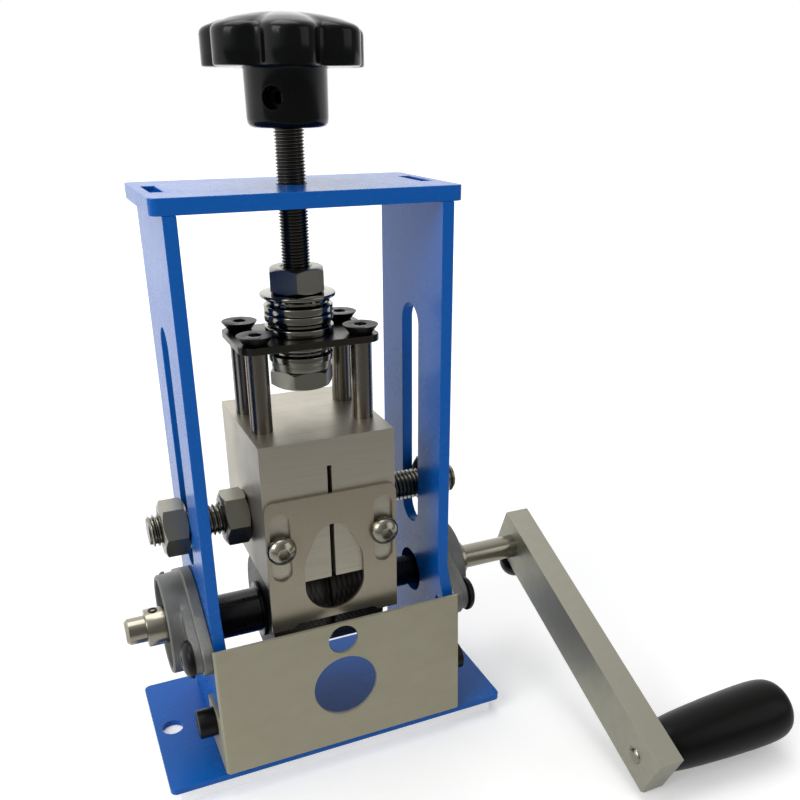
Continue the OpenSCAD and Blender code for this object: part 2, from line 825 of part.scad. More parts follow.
module upper_ring() {
    color(steel) zring(thrust_d, screw_d, ring_b0 + ring_t, ring_t);
}

module middle_ring() {
    color(steel) zring(thrust_d, screw_d, ring_b0, ring_t);
}

module middle_balls() {
    color(dark) zring(cage_d, screw_d, ring_a1 + face_gap, ball_gap_b - face_gap);
}

module plate_ring() {
    color(steel) zring(thrust_d, screw_d + 4 * bolt_gap, ring_a0, ring_t);
}

module press_plate() {
    zc = press_z - post_head_in;
    color(steel) difference() {
        round_plate(press_w, press_d, press_t, press_r, press_z0);
        translate([0, 0, press_z0 - cut])
            cylinder(d = screw_d + 4 * bolt_gap, h = press_t + 2 * cut);
        for (i = [-1, 1], j = [-1, 1]) translate([i * post_x / 2, j * post_y / 2, 0]) {
            translate([0, 0, press_z0 - cut])
                cylinder(d = post_d - 2 * bolt_gap, h = press_t + 2 * cut);
            translate([0, 0, zc])
                cylinder(d1 = post_d - 2 * bolt_gap, d2 = post_head_d, h = post_head_h);
        }
    }
}

module low_plate_ring() {
    color(steel) zring(low_thrust_d, screw_d + 4 * bolt_gap, low_a0, low_ring_t);
}

module lower_balls() {
    color(dark) zring(low_thrust_d - 2 * ring_t / 3, screw_d, low_b1, ball_gap_c - face_gap);
}

module low_ring() {
    color(steel) zring(low_thrust_d, screw_d, low_b0, low_ring_t);
}

module lower_nut() {
    color(steel) union() {
        zring(collar_d, screw_d, collar_z, collar_h);
        hex_nut(low_nut_af, screw_d, low_nut_z, low_nut_h + collar_h / 2, low_nut_turn);
    }
}

module posts() {
    color(bare) for (i = [-1, 1], j = [-1, 1])
        translate([i * post_x / 2, j * post_y / 2, block_z1]) difference() {
            cylinder(d = post_d, h = press_z0 - block_z1);
            translate([0, 0, (press_z0 - block_z1) / 2])
                cylinder(d = post_screw_d, h = press_z0 - block_z1);
        }
}

// Countersunk screws whose cones stand proud of the press plate, as in the photograph.
module post_screws() {
    zc = press_z - post_head_in;
    color(dark) for (i = [-1, 1], j = [-1, 1]) translate([i * post_x / 2, j * post_y / 2, 0])
        difference() {
            union() {
                translate([0, 0, (press_z0 + block_z1) / 2])
                    cylinder(d = post_screw_d, h = zc - (press_z0 + block_z1) / 2 + post_head_h / 2);
                translate([0, 0, press_z0])
                    cylinder(d = post_d - 2 * bolt_gap, h = press_t - post_head_in);
                translate([0, 0, zc])
                    cylinder(d1 = post_d - 2 * bolt_gap, d2 = post_head_d, h = post_head_h);
            }
            translate([0, 0, socket_floor])
                cylinder(d = socket_af * hex_k, h = post_head_h, $fn = 6);
        }
}

module cutting_block() {
    color(steel) difference() {
        translate([-block_w / 2, -block_d / 2, block_z0])
            cube([block_w, block_d, block_z1 - block_z0]);
        translate([-slit_w / 2, -block_d, block_z0 - cut])
            cube([slit_w, 2 * block_d, slit_z1 - block_z0 + cut]);
        xcyl(rod_d, -block_w / 2 - cut, block_w / 2 + cut, 0, rod_z);
        for (i = [-1, 1])
            ycyl(guide_screw_d, -block_d / 2 - cut, -block_d / 4, i * guide_pitch / 2, guide_screw_z);
    }
}

module cross_rod() {
    color(bare) xcyl(rod_d, -rod_half, rod_half, 0, rod_z);
}

// A nut on the cross rod, from x0 on.
module rod_nut(x0) {
    color(steel) difference() {
        translate([x0, 0, rod_z]) rotate([0, 90, 0])
            cylinder(r = nut_r, h = rod_nut_t, $fn = 6);
        xcyl(rod_d, x0 - cut, x0 + rod_nut_t + cut, 0, rod_z);
    }
}

module left_rod_nut() {
    rod_nut(-side_x - face_gap - rod_nut_t);
}

module right_rod_nut() {
    rod_nut(side_x + face_gap);
}

module block_nut() {
    rod_nut(-block_w / 2 - rod_nut_t);
}

module cutting_blade() {
    color(steel) difference() {
        union() {
            xcyl(blade_d - 2 * blade_edge, -blade_t / 2, blade_t / 2, 0, rod_z);
            for (i = [0, 1]) mirror([i, 0, 0]) translate([0, 0, rod_z]) rotate([0, 90, 0])
                cylinder(d1 = blade_d, d2 = blade_d - 2 * blade_edge, h = blade_t / 2);
        }
        xcyl(rod_d + 2 * run_gap, -blade_t, blade_t, 0, rod_z);
    }
}

// The wire hole: a round lower half, straight sides, and a smaller round top.
module egg_hole(y0, y1) {
    re = egg_w / 2;
    rt = egg_top_w / 2;
    zt = egg_z1 - rt;
    c = (re - rt) / (zt - egg_mid);
    s = sqrt(1 - c * c);
    ycyl(egg_w, y0, y1, 0, egg_z0 + re);
    ycyl(egg_w, y0, y1, 0, egg_mid);
    ycyl(egg_top_w, y0, y1, 0, zt);
    translate([-re, y0, egg_z0 + re]) cube([egg_w, y1 - y0, egg_mid - egg_z0 - re]);
    translate([0, y1, 0]) rotate([90, 0, 0]) linear_extrude(y1 - y0) polygon([
        [-re * s, egg_mid + re * c], [re * s, egg_mid + re * c],
        [rt * s, zt + rt * c], [-rt * s, zt + rt * c]]);
}

module guide_plate() {
    y0 = -block_d / 2 - face_gap - guide_t;
    ya = y0 - cut;
    yb = y0 + guide_t + cut;
    color(steel) difference() {
        union() {
            translate([-guide_w / 2, y0, guide_z0])
                cube([guide_w, guide_t, guide_z1 - guide_r - guide_z0]);
            translate([-guide_w / 2 + guide_r, y0, guide_z0])
                cube([guide_w - 2 * guide_r, guide_t, guide_z1 - guide_z0]);
            for (i = [-1, 1])
                ycyl(2 * guide_r, y0, y0 + guide_t, i * (guide_w / 2 - guide_r), guide_z1 - guide_r);
        }
        for (i = [-1, 1]) {
            ycyl(guide_slot_w, ya, yb, i * guide_pitch / 2, guide_slot_z0 + guide_slot_w / 2);
            ycyl(guide_slot_w, ya, yb, i * guide_pitch / 2, guide_slot_z1 - guide_slot_w / 2);
            translate([i * guide_pitch / 2 - guide_slot_w / 2, ya, guide_slot_z0 + guide_slot_w / 2])
                cube([guide_slot_w, yb - ya, guide_slot_z1 - guide_slot_z0 - guide_slot_w]);
        }
        egg_hole(ya, yb);
        translate([0, yb, 0]) rotate([90, 0, 0]) linear_extrude(yb - ya) polygon([
            [-notch_w / 2 - notch_h, guide_z0 - cut], [notch_w / 2 + notch_h, guide_z0 - cut],
            [notch_w / 2 + notch_h, guide_z0], [notch_w / 2, guide_z0 + notch_h],
            [-notch_w / 2, guide_z0 + notch_h], [-notch_w / 2 - notch_h, guide_z0]]);
    }
}

module guide_screws() {
    yh = -block_d / 2 - 2 * face_gap - guide_t;
    color(steel) for (i = [-1, 1]) {
        ycyl(guide_screw_d, yh - guide_head_h / 2, -block_d / 4, i * guide_pitch / 2, guide_screw_z);
        translate([i * guide_pitch / 2, yh, guide_screw_z]) rotate([90, 0, 0])
            cylinder(d1 = guide_head_d, d2 = guide_head_d * 0.7, h = guide_head_h);
    }
}

base_plate();
left_side_plate();
right_side_plate();
top_plate();
front_cover();
left_cover_bolt();
right_cover_bolt();
left_housing();
right_housing();
left_outer_ring();
right_outer_ring();
left_ball_row();
right_ball_row();
left_inner_ring();
right_inner_ring();
left_ring_screw();
right_ring_screw();
left_flange_bolts();
right_flange_bolts();
drive_shaft();
drive_wheel();
left_roller();
right_roller();
wheel_key();
left_sleeve();
right_spacer();
crank_arm();
arm_screw();
grip_bolt();
grip();
lead_screw();
knob();
knob_screw();
upper_nut();
clamp_washer();
upper_balls();
upper_ring();
middle_ring();
middle_balls();
plate_ring();
press_plate();
low_plate_ring();
lower_balls();
low_ring();
lower_nut();
posts();
post_screws();
cutting_block();
cross_rod();
left_rod_nut();
right_rod_nut();
block_nut();
cutting_blade();
guide_plate();
guide_screws();
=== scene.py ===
"""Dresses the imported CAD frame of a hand-crank wire stripping machine for rendering.

Lengths are in metres in the CAD model's own frame: X to the crank, Y to the back, Z up,
origin on the underside of the base below the lead screw.
"""

import logging
import math
from collections.abc import Callable, Sequence
from dataclasses import dataclass
from enum import Enum

import bmesh
import bpy
from mathutils import Matrix, Vector


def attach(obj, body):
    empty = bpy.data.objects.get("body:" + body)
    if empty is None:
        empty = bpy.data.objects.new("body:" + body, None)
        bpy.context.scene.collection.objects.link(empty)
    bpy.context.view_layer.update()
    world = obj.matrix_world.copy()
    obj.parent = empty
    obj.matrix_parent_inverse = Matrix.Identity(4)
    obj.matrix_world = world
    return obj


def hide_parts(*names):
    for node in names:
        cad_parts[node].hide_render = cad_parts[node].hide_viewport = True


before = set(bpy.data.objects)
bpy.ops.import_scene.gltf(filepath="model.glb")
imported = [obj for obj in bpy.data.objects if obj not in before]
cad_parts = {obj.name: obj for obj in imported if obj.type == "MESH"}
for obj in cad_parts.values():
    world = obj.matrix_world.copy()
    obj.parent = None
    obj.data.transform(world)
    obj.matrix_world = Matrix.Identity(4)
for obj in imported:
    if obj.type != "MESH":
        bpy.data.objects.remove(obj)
LOG = logging.getLogger("stripper")
MM = 0.001
Point = tuple[float, float]
Place = tuple[float, float, float]
# A ring is round, at one radius and height, or follows an outline by its angle.
Ring = Point | Callable[[float], Point]
Mesh = bmesh.types.BMesh
ROUND_Z = {"cent": (0, 0, 0), "axis": (0, 0, 1)}


# Finishes


class Grain(Enum):
    """How a surface was made, which sets its fine relief."""

    ENAMEL = "sprayed enamel"
    BRUSHED_X = "belt ground along X"
    BRUSHED_Z = "belt ground along Z"
    TURNED = "turned or ground round"
    CAST = "sand cast"
    SHEET = "cold rolled sheet"
    MOULDED = "moulded plastic"
    KNURLED = "knurled"


@dataclass(frozen=True)
class Relief:
    """Scale and strength of one grain.

    Args:
        sizes: Length of one feature along X, Y and Z in millimetres.
        height: Bump height in millimetres.
        spread: How much the roughness moves with the grain.
        tint: How much the colour moves with the grain.
    """

    sizes: Place
    height: float
    spread: float
    tint: float


RELIEFS: dict[Grain, Relief] = {
    # Orange peel of a sprayed coat is 2 to 4 mm across and a few microns high.
    Grain.ENAMEL: Relief((3.5, 3.5, 3.5), 0.006, 0.03, 0.05),
    # Grinding lines are 0.1 mm apart; drawn 0.6 mm so that they show.
    Grain.BRUSHED_X: Relief((26.0, 0.6, 0.6), 0.006, 0.08, 0.10),
    Grain.BRUSHED_Z: Relief((0.6, 0.6, 26.0), 0.005, 0.08, 0.06),
    # Turning marks are too fine to see; what shows is a slow cloud of handling oil.
    Grain.TURNED: Relief((7.0, 7.0, 7.0), 0.002, 0.05, 0.08),
    # Fine sand leaves pits of about half a millimetre; drawn 0.8 mm.
    Grain.CAST: Relief((0.8, 0.8, 0.8), 0.10, 0.08, 0.16),
    # Rolling leaves a faint cloud and pores a few millimetres apart.
    Grain.SHEET: Relief((9.0, 5.0, 5.0), 0.004, 0.06, 0.08),
    Grain.MOULDED: Relief((4.0, 4.0, 4.0), 0.003, 0.04, 0.10),
    Grain.KNURLED: Relief((1.0, 1.0, 1.0), 0.20, 0.10, 0.20),
}


# A map range node's inputs, and what the sum of two noises mostly lies between.
RANGE_INPUTS = ("Value", "From Min", "From Max", "To Min", "To Max")
NOISE_SPAN = (0.7, 1.3)


def linear(code: str) -> tuple[float, float, float, float]:
    """Turns an sRGB hex colour to the linear colour that a shader takes.

    Args:
        code: Six hex digits after a hash sign.

    Returns:
        Linear red, green and blue, and an alpha of one.
    """
    parts = [int(code[i : i + 2], 16) / 255 for i in (1, 3, 5)]
    r, g, b = (p / 12.92 if p <= 0.04045 else ((p + 0.055) / 1.055) ** 2.4 for p in parts)
    return (r, g, b, 1.0)


def add_node(
    tree: bpy.types.NodeTree, kind: str, inputs: dict | None = None, **settings: object
) -> bpy.types.Node:
    """Adds one shader node with its settings and links.

    Args:
        tree: The material's node tree.
        kind: The node's type, without the ShaderNode that each begins with.
        inputs: Input names or numbers, each with a value or the socket to link from.
        settings: Properties of the node itself.

    Returns:
        The new node.
    """
    node = tree.nodes.new(f"ShaderNode{kind}")
    for key, value in settings.items():
        setattr(node, key, value)
    for key, value in (inputs or {}).items():
        if isinstance(value, bpy.types.NodeSocket):
            tree.links.new(value, node.inputs[key])
        else:
            node.inputs[key].default_value = value
    return node


@dataclass(frozen=True)
class Finish:
    """One real finish and the material made from it.

    Args:
        name: What the finish is called in the workshop.
        colour: Its main colour as sRGB hex.
        worn: The colour it drifts to where it is rubbed or stained.
        metallic: One for bare metal, zero for paint and plastic.
        roughness: Typical roughness.
        grain: How the surface was made.
        slot: The record's material slot that it stands for; not used.
        ior: Index of refraction, for paint and plastics only.
        mirror: Strength of the surface's own reflection, one half being a clean surface.
    """

    name: str
    colour: str
    worn: str
    metallic: float
    roughness: float
    grain: Grain
    slot: str
    ior: float | None = None
    mirror: float = 0.5

    def build(self) -> bpy.types.Material:
        """Makes the node material, or returns it if it is already made.

        Returns:
            The material.
        """
        known = bpy.data.materials.get(self.name)
        if known:
            return known
        relief = RELIEFS[self.grain]
        mat = bpy.data.materials.new(self.name)
        mat.use_nodes = True
        tree = mat.node_tree
        shader = tree.nodes["Principled BSDF"]
        where = add_node(tree, "TexCoord").outputs["Object"]
        stretch = tuple(1 / (size * MM) for size in relief.sizes)
        scaled = add_node(tree, "Mapping", {"Vector": where, "Scale": stretch}).outputs["Vector"]
        fine = add_node(tree, "TexNoise", {"Vector": scaled, "Scale": 1.0, "Detail": 3.0})
        # Handling and oil cloud a surface over patches of about 30 mm.
        cloud = {"Vector": where, "Scale": 33.0, "Detail": 4.0, "Roughness": 0.6}
        pair = [node.outputs["Fac"] for node in (fine, add_node(tree, "TexNoise", cloud))]
        noise = add_node(tree, "Math", dict(enumerate(pair)), operation="ADD").outputs["Value"]
        smoothest = max(0.03, self.roughness - relief.spread)
        roughest = min(1.0, self.roughness + relief.spread)
        drift, rough = (
            add_node(tree, "MapRange", dict(zip(RANGE_INPUTS, (noise, *NOISE_SPAN, *ends))))
            for ends in ((0.0, min(1.0, relief.tint * 4)), (smoothest, roughest))
        )
        shades = {"A": linear(self.colour), "B": linear(self.worn)}
        mix = {"Factor": drift.outputs["Result"], **shades}
        colour = add_node(tree, "Mix", mix, data_type="RGBA")
        height = self._knurl(tree, where) if self.grain is Grain.KNURLED else pair[0]
        ridges = {"Height": height, "Strength": 1.0, "Distance": relief.height * MM}
        bump = add_node(tree, "Bump", ridges)
        tree.links.new(colour.outputs["Result"], shader.inputs["Base Color"])
        tree.links.new(rough.outputs["Result"], shader.inputs["Roughness"])
        tree.links.new(bump.outputs["Normal"], shader.inputs["Normal"])
        shader.inputs["Metallic"].default_value = self.metallic
        shader.inputs["Specular IOR Level"].default_value = self.mirror
        if self.ior:
            shader.inputs["IOR"].default_value = self.ior
        return mat

    @staticmethod
    def _knurl(tree: bpy.types.NodeTree, where: bpy.types.NodeSocket) -> bpy.types.NodeSocket:
        """Adds crossed bands 1.6 mm apart round X for a diamond knurl.

        Args:
            tree: The material's node tree.
            where: The socket that gives Object coordinates.

        Returns:
            The socket that holds the knurl's height.
        """
        bands = []
        for lean in (0.6, -0.6):
            turn = add_node(tree, "Mapping", {"Vector": where, "Rotation": (0.0, lean, lean)})
            lines = {"Vector": turn.outputs["Vector"], "Scale": 200.0}
            wave = add_node(tree, "TexWave", lines, bands_direction="X")
            bands.append(wave.outputs["Fac"])
        crossed = add_node(tree, "Math", dict(enumerate(bands)), operation="MULTIPLY")
        return crossed.outputs["Value"]


# Gloss enamel on plate: a deep even blue under a hard clear shine.
BLUE_ENAMEL = Finish(
    "blue enamel", "#0658AC", "#0A60B4", 0.0, 0.26, Grain.ENAMEL, "blue_paint", 1.5, 0.2
)
# Cold rolled sheet left bare: a dull warm grey without any shine.
COVER_SHEET = Finish(
    "bare sheet steel", "#9E9985", "#96917D", 0.45, 0.55, Grain.SHEET, "steel_sheet", mirror=0.3
)
# Belt ground block: mid grey with fine straight lines.
GROUND_X = Finish(
    "ground steel along x", "#AFAA9B", "#938E80", 0.85, 0.38, Grain.BRUSHED_X, "block_steel"
)
# Ground and wiped guide plate: a little warmer and brighter than the block.
GROUND_Z = Finish(
    "ground steel along z", "#9D9584", "#908878", 0.85, 0.34, Grain.BRUSHED_Z, "block_steel"
)
# Mill finish bar: a yellowish satin grey.
BAR_STEEL = Finish(
    "mill finish steel bar", "#9C9A8C", "#8D8B7D", 0.85, 0.42, Grain.SHEET, "block_steel"
)
# Wiped posts under the press plate: satin steel in a darkened brownish grey, painted shade for
# the dark surroundings that they mirror.
SHADE_DARKENED_POST_STEEL = Finish(
    "ground posts darkened as painted shade", "#7C766C", "#6A645B", 1.0, 0.24, Grain.TURNED, "bright_steel"
)
# Blued press plate: dark brown grey with a soft shine.
BLUED_PLATE = Finish(
    "blued steel plate", "#3B3932", "#2F2D28", 0.9, 0.30, Grain.SHEET, "block_steel"
)
# Turned and ground steel: bright and smooth.
BRIGHT = Finish(
    "bright turned steel", "#8D897C", "#7B776B", 1.0, 0.20, Grain.TURNED, "bright_steel"
)
# Case hardened thrust rings: dark mirror steel.
RING_STEEL = Finish(
    "hardened ring steel", "#86837A", "#68655E", 1.0, 0.14, Grain.TURNED, "bright_steel"
)
# Plain steel nuts: satin grey.
NUT_STEEL = Finish(
    "plain nut steel", "#8E8C81", "#7A786E", 1.0, 0.30, Grain.TURNED, "bright_steel"
)
# Zinc plated cross rod: paler than the oiled screw.
ROD_THREAD = Finish(
    "plated rolled thread", "#7D7B72", "#66645C", 1.0, 0.27, Grain.TURNED, "thread_steel"
)
# Rolled thread with dark oil in its roots.
THREAD = Finish(
    "oiled rolled thread", "#5A5852", "#34332F", 1.0, 0.24, Grain.TURNED, "thread_steel"
)
# Zinc alloy housing: a matt grey with cast grain.
CAST = Finish("grey cast housing", "#6B6C69", "#5E5F5C", 0.5, 0.50, Grain.CAST, "cast_grey")
# Knurled wheel: a dark grey that paints in the shade it sits in inside the frame, with darker
# random patches.
SHADE_DARKENED_WHEEL = Finish(
    "knurled wheel steel darkened as painted shade", "#3D3B37", "#2E2C29", 0.8, 0.42, Grain.KNURLED, "wheel_steel"
)
# Black oxide: near black with a soft oily shine.
OXIDE = Finish(
    "black oxide steel", "#0C0C0E", "#131315", 0.0, 0.34, Grain.TURNED, "black_oxide", mirror=0.15
)
# Phenolic knob: deep black with a clear shine.
PHENOLIC = Finish(
    "black phenolic", "#070808", "#0B0C0C", 0.0, 0.16, Grain.MOULDED, "black_plastic", 1.5, 0.16
)
# Satin grip: the same black with a softer shine.
GRIP_BLACK = Finish(
    "satin black grip", "#0A0A09", "#0E0E0D", 0.0, 0.32, Grain.MOULDED, "black_plastic", 1.5, 0.1
)
# Nylon sleeve and spacer: black with a brownish satin shine.
NYLON = Finish(
    "black nylon", "#080706", "#0E0C0A", 0.0, 0.28, Grain.MOULDED, "black_plastic", mirror=0.3
)
# Ground blade: bright steel with a fine turned lay.
BLADE = Finish("ground blade steel", "#9C9B96", "#888782", 1.0, 0.18, Grain.TURNED, "blade_steel")
# Nitrile seal: matt black with a faint dust.
SEAL_RUBBER = Finish(
    "dark rubber seal", "#141415", "#1C1C1D", 0.0, 0.55, Grain.MOULDED, "black_oxide", mirror=0.2
)

# The hub and the two rollers are one machined piece to the eye.
WHEEL_NODES = ("drive_wheel", "left_roller", "right_roller")


# Shaping helpers


def turned(profile: Sequence[Point], closed: bool = True, steps: int = 56) -> Mesh:
    """Spins a profile once round Z.

    Args:
        profile: Radius and height of each point in millimetres.
        closed: True for a ring, whose last point joins its first.
        steps: Number of sides.

    Returns:
        The spun mesh in metres, its normals outwards.
    """
    bm = bmesh.new()
    verts = [bm.verts.new((r * MM, 0.0, z * MM)) for r, z in profile]
    pairs = list(zip(verts, verts[1:]))
    if closed:
        pairs.append((verts[-1], verts[0]))
    edges = [bm.edges.new(pair) for pair in pairs]
    bmesh.ops.spin(
        bm, geom=verts + edges, **ROUND_Z, angle=math.tau, steps=steps, use_merge=True
    )
    bmesh.ops.remove_doubles(bm, verts=bm.verts, dist=1e-6)
    bmesh.ops.recalc_face_normals(bm, faces=bm.faces)
    return bm


def tube(inner: float, outer: float, low: float, high: float, steps: int = 56) -> Mesh:
    """Makes a plain ring round Z.

    Args:
        inner: Radius of its hole in millimetres.
        outer: Its outer radius.
        low: Height of its lower face.
        high: Height of its upper face.
        steps: Number of sides.

    Returns:
        The closed ring.
    """
    return turned([(inner, low), (outer, low), (outer, high), (inner, high)], steps=steps)


def lofted(rings: Sequence[Ring], sides: int) -> Mesh:
    """Extrudes a circle of points through a row of rings round Z.

    Args:
        rings: Radius and height of each in millimetres, or what gives them at an angle.
        sides: Number of points in a ring.

    Returns:
        The mesh in metres, closed where its ends meet or come to a point.
    """
    bm = bmesh.new()
    bmesh.ops.create_circle(bm, segments=sides, radius=1.0)
    edges = list(bm.edges)
    rows = [list(bm.verts)]
    for _ in rings[1:]:
        made = bmesh.ops.extrude_edge_only(bm, edges=edges)["geom"]
        rows.append([g for g in made if isinstance(g, bmesh.types.BMVert)])
        found = [g for g in made if isinstance(g, bmesh.types.BMEdge)]
        edges = [e for e in found if all(v in rows[-1] for v in e.verts)]
    for row, ring in zip(rows, rings):
        for v in row:
            a = math.atan2(v.co.y, v.co.x)
            r, z = ring(a) if callable(ring) else ring
            v.co = Vector((math.cos(a) * r * MM, math.sin(a) * r * MM, z * MM))
    bmesh.ops.remove_doubles(bm, verts=bm.verts, dist=1e-7)
    bmesh.ops.recalc_face_normals(bm, faces=bm.faces)
    return bm


def bevel(bm: Mesh, edges: Sequence[bmesh.types.BMEdge], width: float, segments: int) -> None:
    """Rounds the given edges.

    Args:
        bm: The mesh to change.
        edges: The edges to round.
        width: Width of the rounding in millimetres.
        segments: Number of faces across a rounding.
    """
    bmesh.ops.bevel(
        bm,
        geom=edges,
        offset=width * MM,
        offset_type="OFFSET",
        segments=segments,
        profile=0.5,
        affect="EDGES",
        clamp_overlap=True,
        material=-1,
    )


def soften(bm: Mesh, width: float, segments: int = 2) -> Mesh:
    """Rounds every edge that turns by more than 35 degrees.

    Args:
        bm: The mesh to change.
        width: Width of the rounding in millimetres.
        segments: Number of faces across a rounding.

    Returns:
        The same mesh.
    """
    limit = math.radians(35.0)
    sharp = [e for e in bm.edges if len(e.link_faces) == 2 and e.calc_face_angle(0.0) > limit]
    bevel(bm, sharp, width, segments)
    return bm


def merged(node: str) -> Mesh:
    """Copies a CAD node and merges its loose triangles to flat faces.

    Args:
        node: The CAD node's name.

    Returns:
        The merged copy.
    """
    bm = bmesh.new()
    bm.from_mesh(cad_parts[node].data)
    bmesh.ops.remove_doubles(bm, verts=bm.verts, dist=2e-6)
    flat = math.radians(0.8)
    bmesh.ops.dissolve_limit(bm, angle_limit=flat, verts=bm.verts[:], edges=bm.edges[:])
    return bm


def loose_mesh(name: str, bm: Mesh) -> bpy.types.Mesh:
    """Writes a bmesh to a new mesh and frees it.

    Args:
        name: The new mesh's name.
        bm: The bmesh.

    Returns:
        The new mesh.
    """
    mesh = bpy.data.meshes.new(name)
    bm.to_mesh(mesh)
    bm.free()
    return mesh


def linked(name: str, data: bpy.types.ID) -> bpy.types.Object:
    """Makes an object and puts it in the scene.

    Args:
        name: The object's name.
        data: Its mesh, lamp or camera.

    Returns:
        The new object.
    """
    thing = bpy.data.objects.new(name, data)
    bpy.context.scene.collection.objects.link(thing)
    return thing


def cut_away(bm: Mesh, tool: Mesh) -> Mesh:
    """Cuts one closed mesh out of another and frees both.

    Args:
        bm: The mesh to cut.
        tool: The mesh that is taken away.

    Returns:
        What is left.
    """
    whole, drill = (linked("shape", loose_mesh("shape", part)) for part in (bm, tool))
    step = whole.modifiers.new("cut", "BOOLEAN")
    step.operation = "DIFFERENCE"
    step.solver = "EXACT"
    step.object = drill
    graph = bpy.context.evaluated_depsgraph_get()
    result = bpy.data.meshes.new_from_object(whole.evaluated_get(graph))
    left = bmesh.new()
    left.from_mesh(result)
    for mesh in (whole.data, drill.data, result):
        bpy.data.meshes.remove(mesh)
    return left


def joined(parts: Sequence[Mesh]) -> Mesh:
    """Puts several meshes in one and frees them.

    Args:
        parts: The meshes to join.

    Returns:
        One mesh that holds them all.
    """
    whole = bmesh.new()
    for part in parts:
        loose = loose_mesh("loose", part)
        whole.from_mesh(loose)
        bpy.data.meshes.remove(loose)
    return whole


def aimed(bm: Mesh, axis: str, x: float, y: float, z: float) -> Mesh:
    """Turns a mesh from Z to an axis and moves it.

    Args:
        bm: The mesh to place.
        axis: One of x, -x, -y, z and -z.
        x: Where its origin goes along X in millimetres.
        y: Along Y.
        z: Along Z.

    Returns:
        The same mesh.
    """
    turns = {
        "x": Matrix.Rotation(math.pi / 2, 4, "Y"),
        "-x": Matrix.Rotation(-math.pi / 2, 4, "Y"),
        "-y": Matrix.Rotation(math.pi / 2, 4, "X"),
        "z": Matrix.Identity(4),
        "-z": Matrix.Rotation(math.pi, 4, "X"),
    }
    move = Matrix.Translation((x * MM, y * MM, z * MM)) @ turns[axis]
    bmesh.ops.transform(bm, matrix=move, verts=bm.verts)
    return bm


def spun(bm: Mesh, degrees: float) -> Mesh:
    """Turns a mesh round Z.

    Args:
        bm: The mesh to turn.
        degrees: How far it turns.

    Returns:
        The same mesh.
    """
    around = Matrix.Rotation(math.radians(degrees), 3, "Z")
    bmesh.ops.rotate(bm, cent=(0, 0, 0), matrix=around, verts=bm.verts)
    return bm


def hexagon(half: float, a: float) -> float:
    """Gives the radius of a hexagon at an angle.

    Args:
        half: Half its width across the flats.
        a: Angle in radians from one of its corners.

    Returns:
        The radius, in the unit of half.
    """
    b = (a + math.pi / 6) % (math.pi / 3) - math.pi / 6
    return half / math.cos(math.pi / 6 - abs(b))


def hex_nut(flats: float, bore: float, height: float, turn: float) -> Mesh:
    """Makes a hexagon nut whose corners are cut by a 30 degree cone at both ends.

    Args:
        flats: Distance across the flats in millimetres.
        bore: Diameter of its hole.
        height: Its height.
        turn: Angle of its first corner in degrees.

    Returns:
        The nut, standing on the origin along Z.
    """
    half, hole, chamfer = flats / 2, bore / 2, 0.9
    lip = hole + chamfer
    # The cone leaves a round land a little narrower than the flats.
    land = half * 0.955

    def fall(a: float) -> float:
        """How far the cone has come down where it meets the hexagon."""
        return (hexagon(half, a) - land) * math.tan(math.radians(30))

    rings: list[Ring] = [
        (hole, chamfer),
        (lip, 0.0),
        (land, 0.0),
        lambda a: (hexagon(half, a), fall(a)),
        lambda a: (hexagon(half, a), height - fall(a)),
        (land, height),
        (lip, height),
        (hole, height - chamfer),
        (hole, chamfer),
    ]
    return spun(lofted(rings, sides=72), turn)


def thread(outer: float, pitch: float, low: float, high: float, end_cut: float) -> Mesh:
    """Winds a right-hand thread along Z.

    Args:
        outer: Outer diameter in millimetres.
        pitch: Distance between turns.
        low: Height of its lower end.
        high: Height of its upper end.
        end_cut: Length of the chamfer at each end.

    Returns:
        A closed threaded bar.
    """
    steps = 22
    top = outer / 2
    # A metric thread is 0.61 of its pitch deep.
    root = top - 0.61 * pitch
    # One turn's profile: a flat root, a rising flank, a narrow crest and a falling flank.
    shape = [(root, 0.0), (root, 0.14), (top, 0.46), (top, 0.56), (root, 0.88), (root, 1.0)]
    turns = math.ceil((high - low) / pitch) + 2
    bm = bmesh.new()
    verts = [bm.verts.new((r * MM, 0.0, (low + (f - 1.5) * pitch) * MM)) for r, f in shape]
    edges = [bm.edges.new(pair) for pair in zip(verts, verts[1:])]
    rise = (0, 0, pitch * MM / steps)
    angle = math.tau * turns
    bmesh.ops.spin(
        bm, geom=verts + edges, **ROUND_Z, dvec=rise, angle=angle, steps=steps * turns
    )
    bmesh.ops.remove_doubles(bm, verts=bm.verts, dist=1e-6)
    for height, up in ((low, -1), (high, 1)):
        whole = bm.verts[:] + bm.edges[:] + bm.faces[:]
        plane = {"plane_co": (0, 0, height * MM), "plane_no": (0, 0, up)}
        bmesh.ops.bisect_plane(bm, geom=whole, **plane, clear_outer=True)
        rim = [e for e in bm.edges if e.is_boundary and abs(e.verts[0].co.z - height * MM) < 1e-7]
        bmesh.ops.edgeloop_fill(bm, edges=rim)
    for v in bm.verts:
        inside = min(v.co.z / MM - low, high - v.co.z / MM)
        most = (top - end_cut + max(inside, 0.0)) * MM
        flat = math.hypot(v.co.x, v.co.y)
        if flat > most:
            v.co.x *= most / flat
            v.co.y *= most / flat
    bmesh.ops.recalc_face_normals(bm, faces=bm.faces)
    return bm


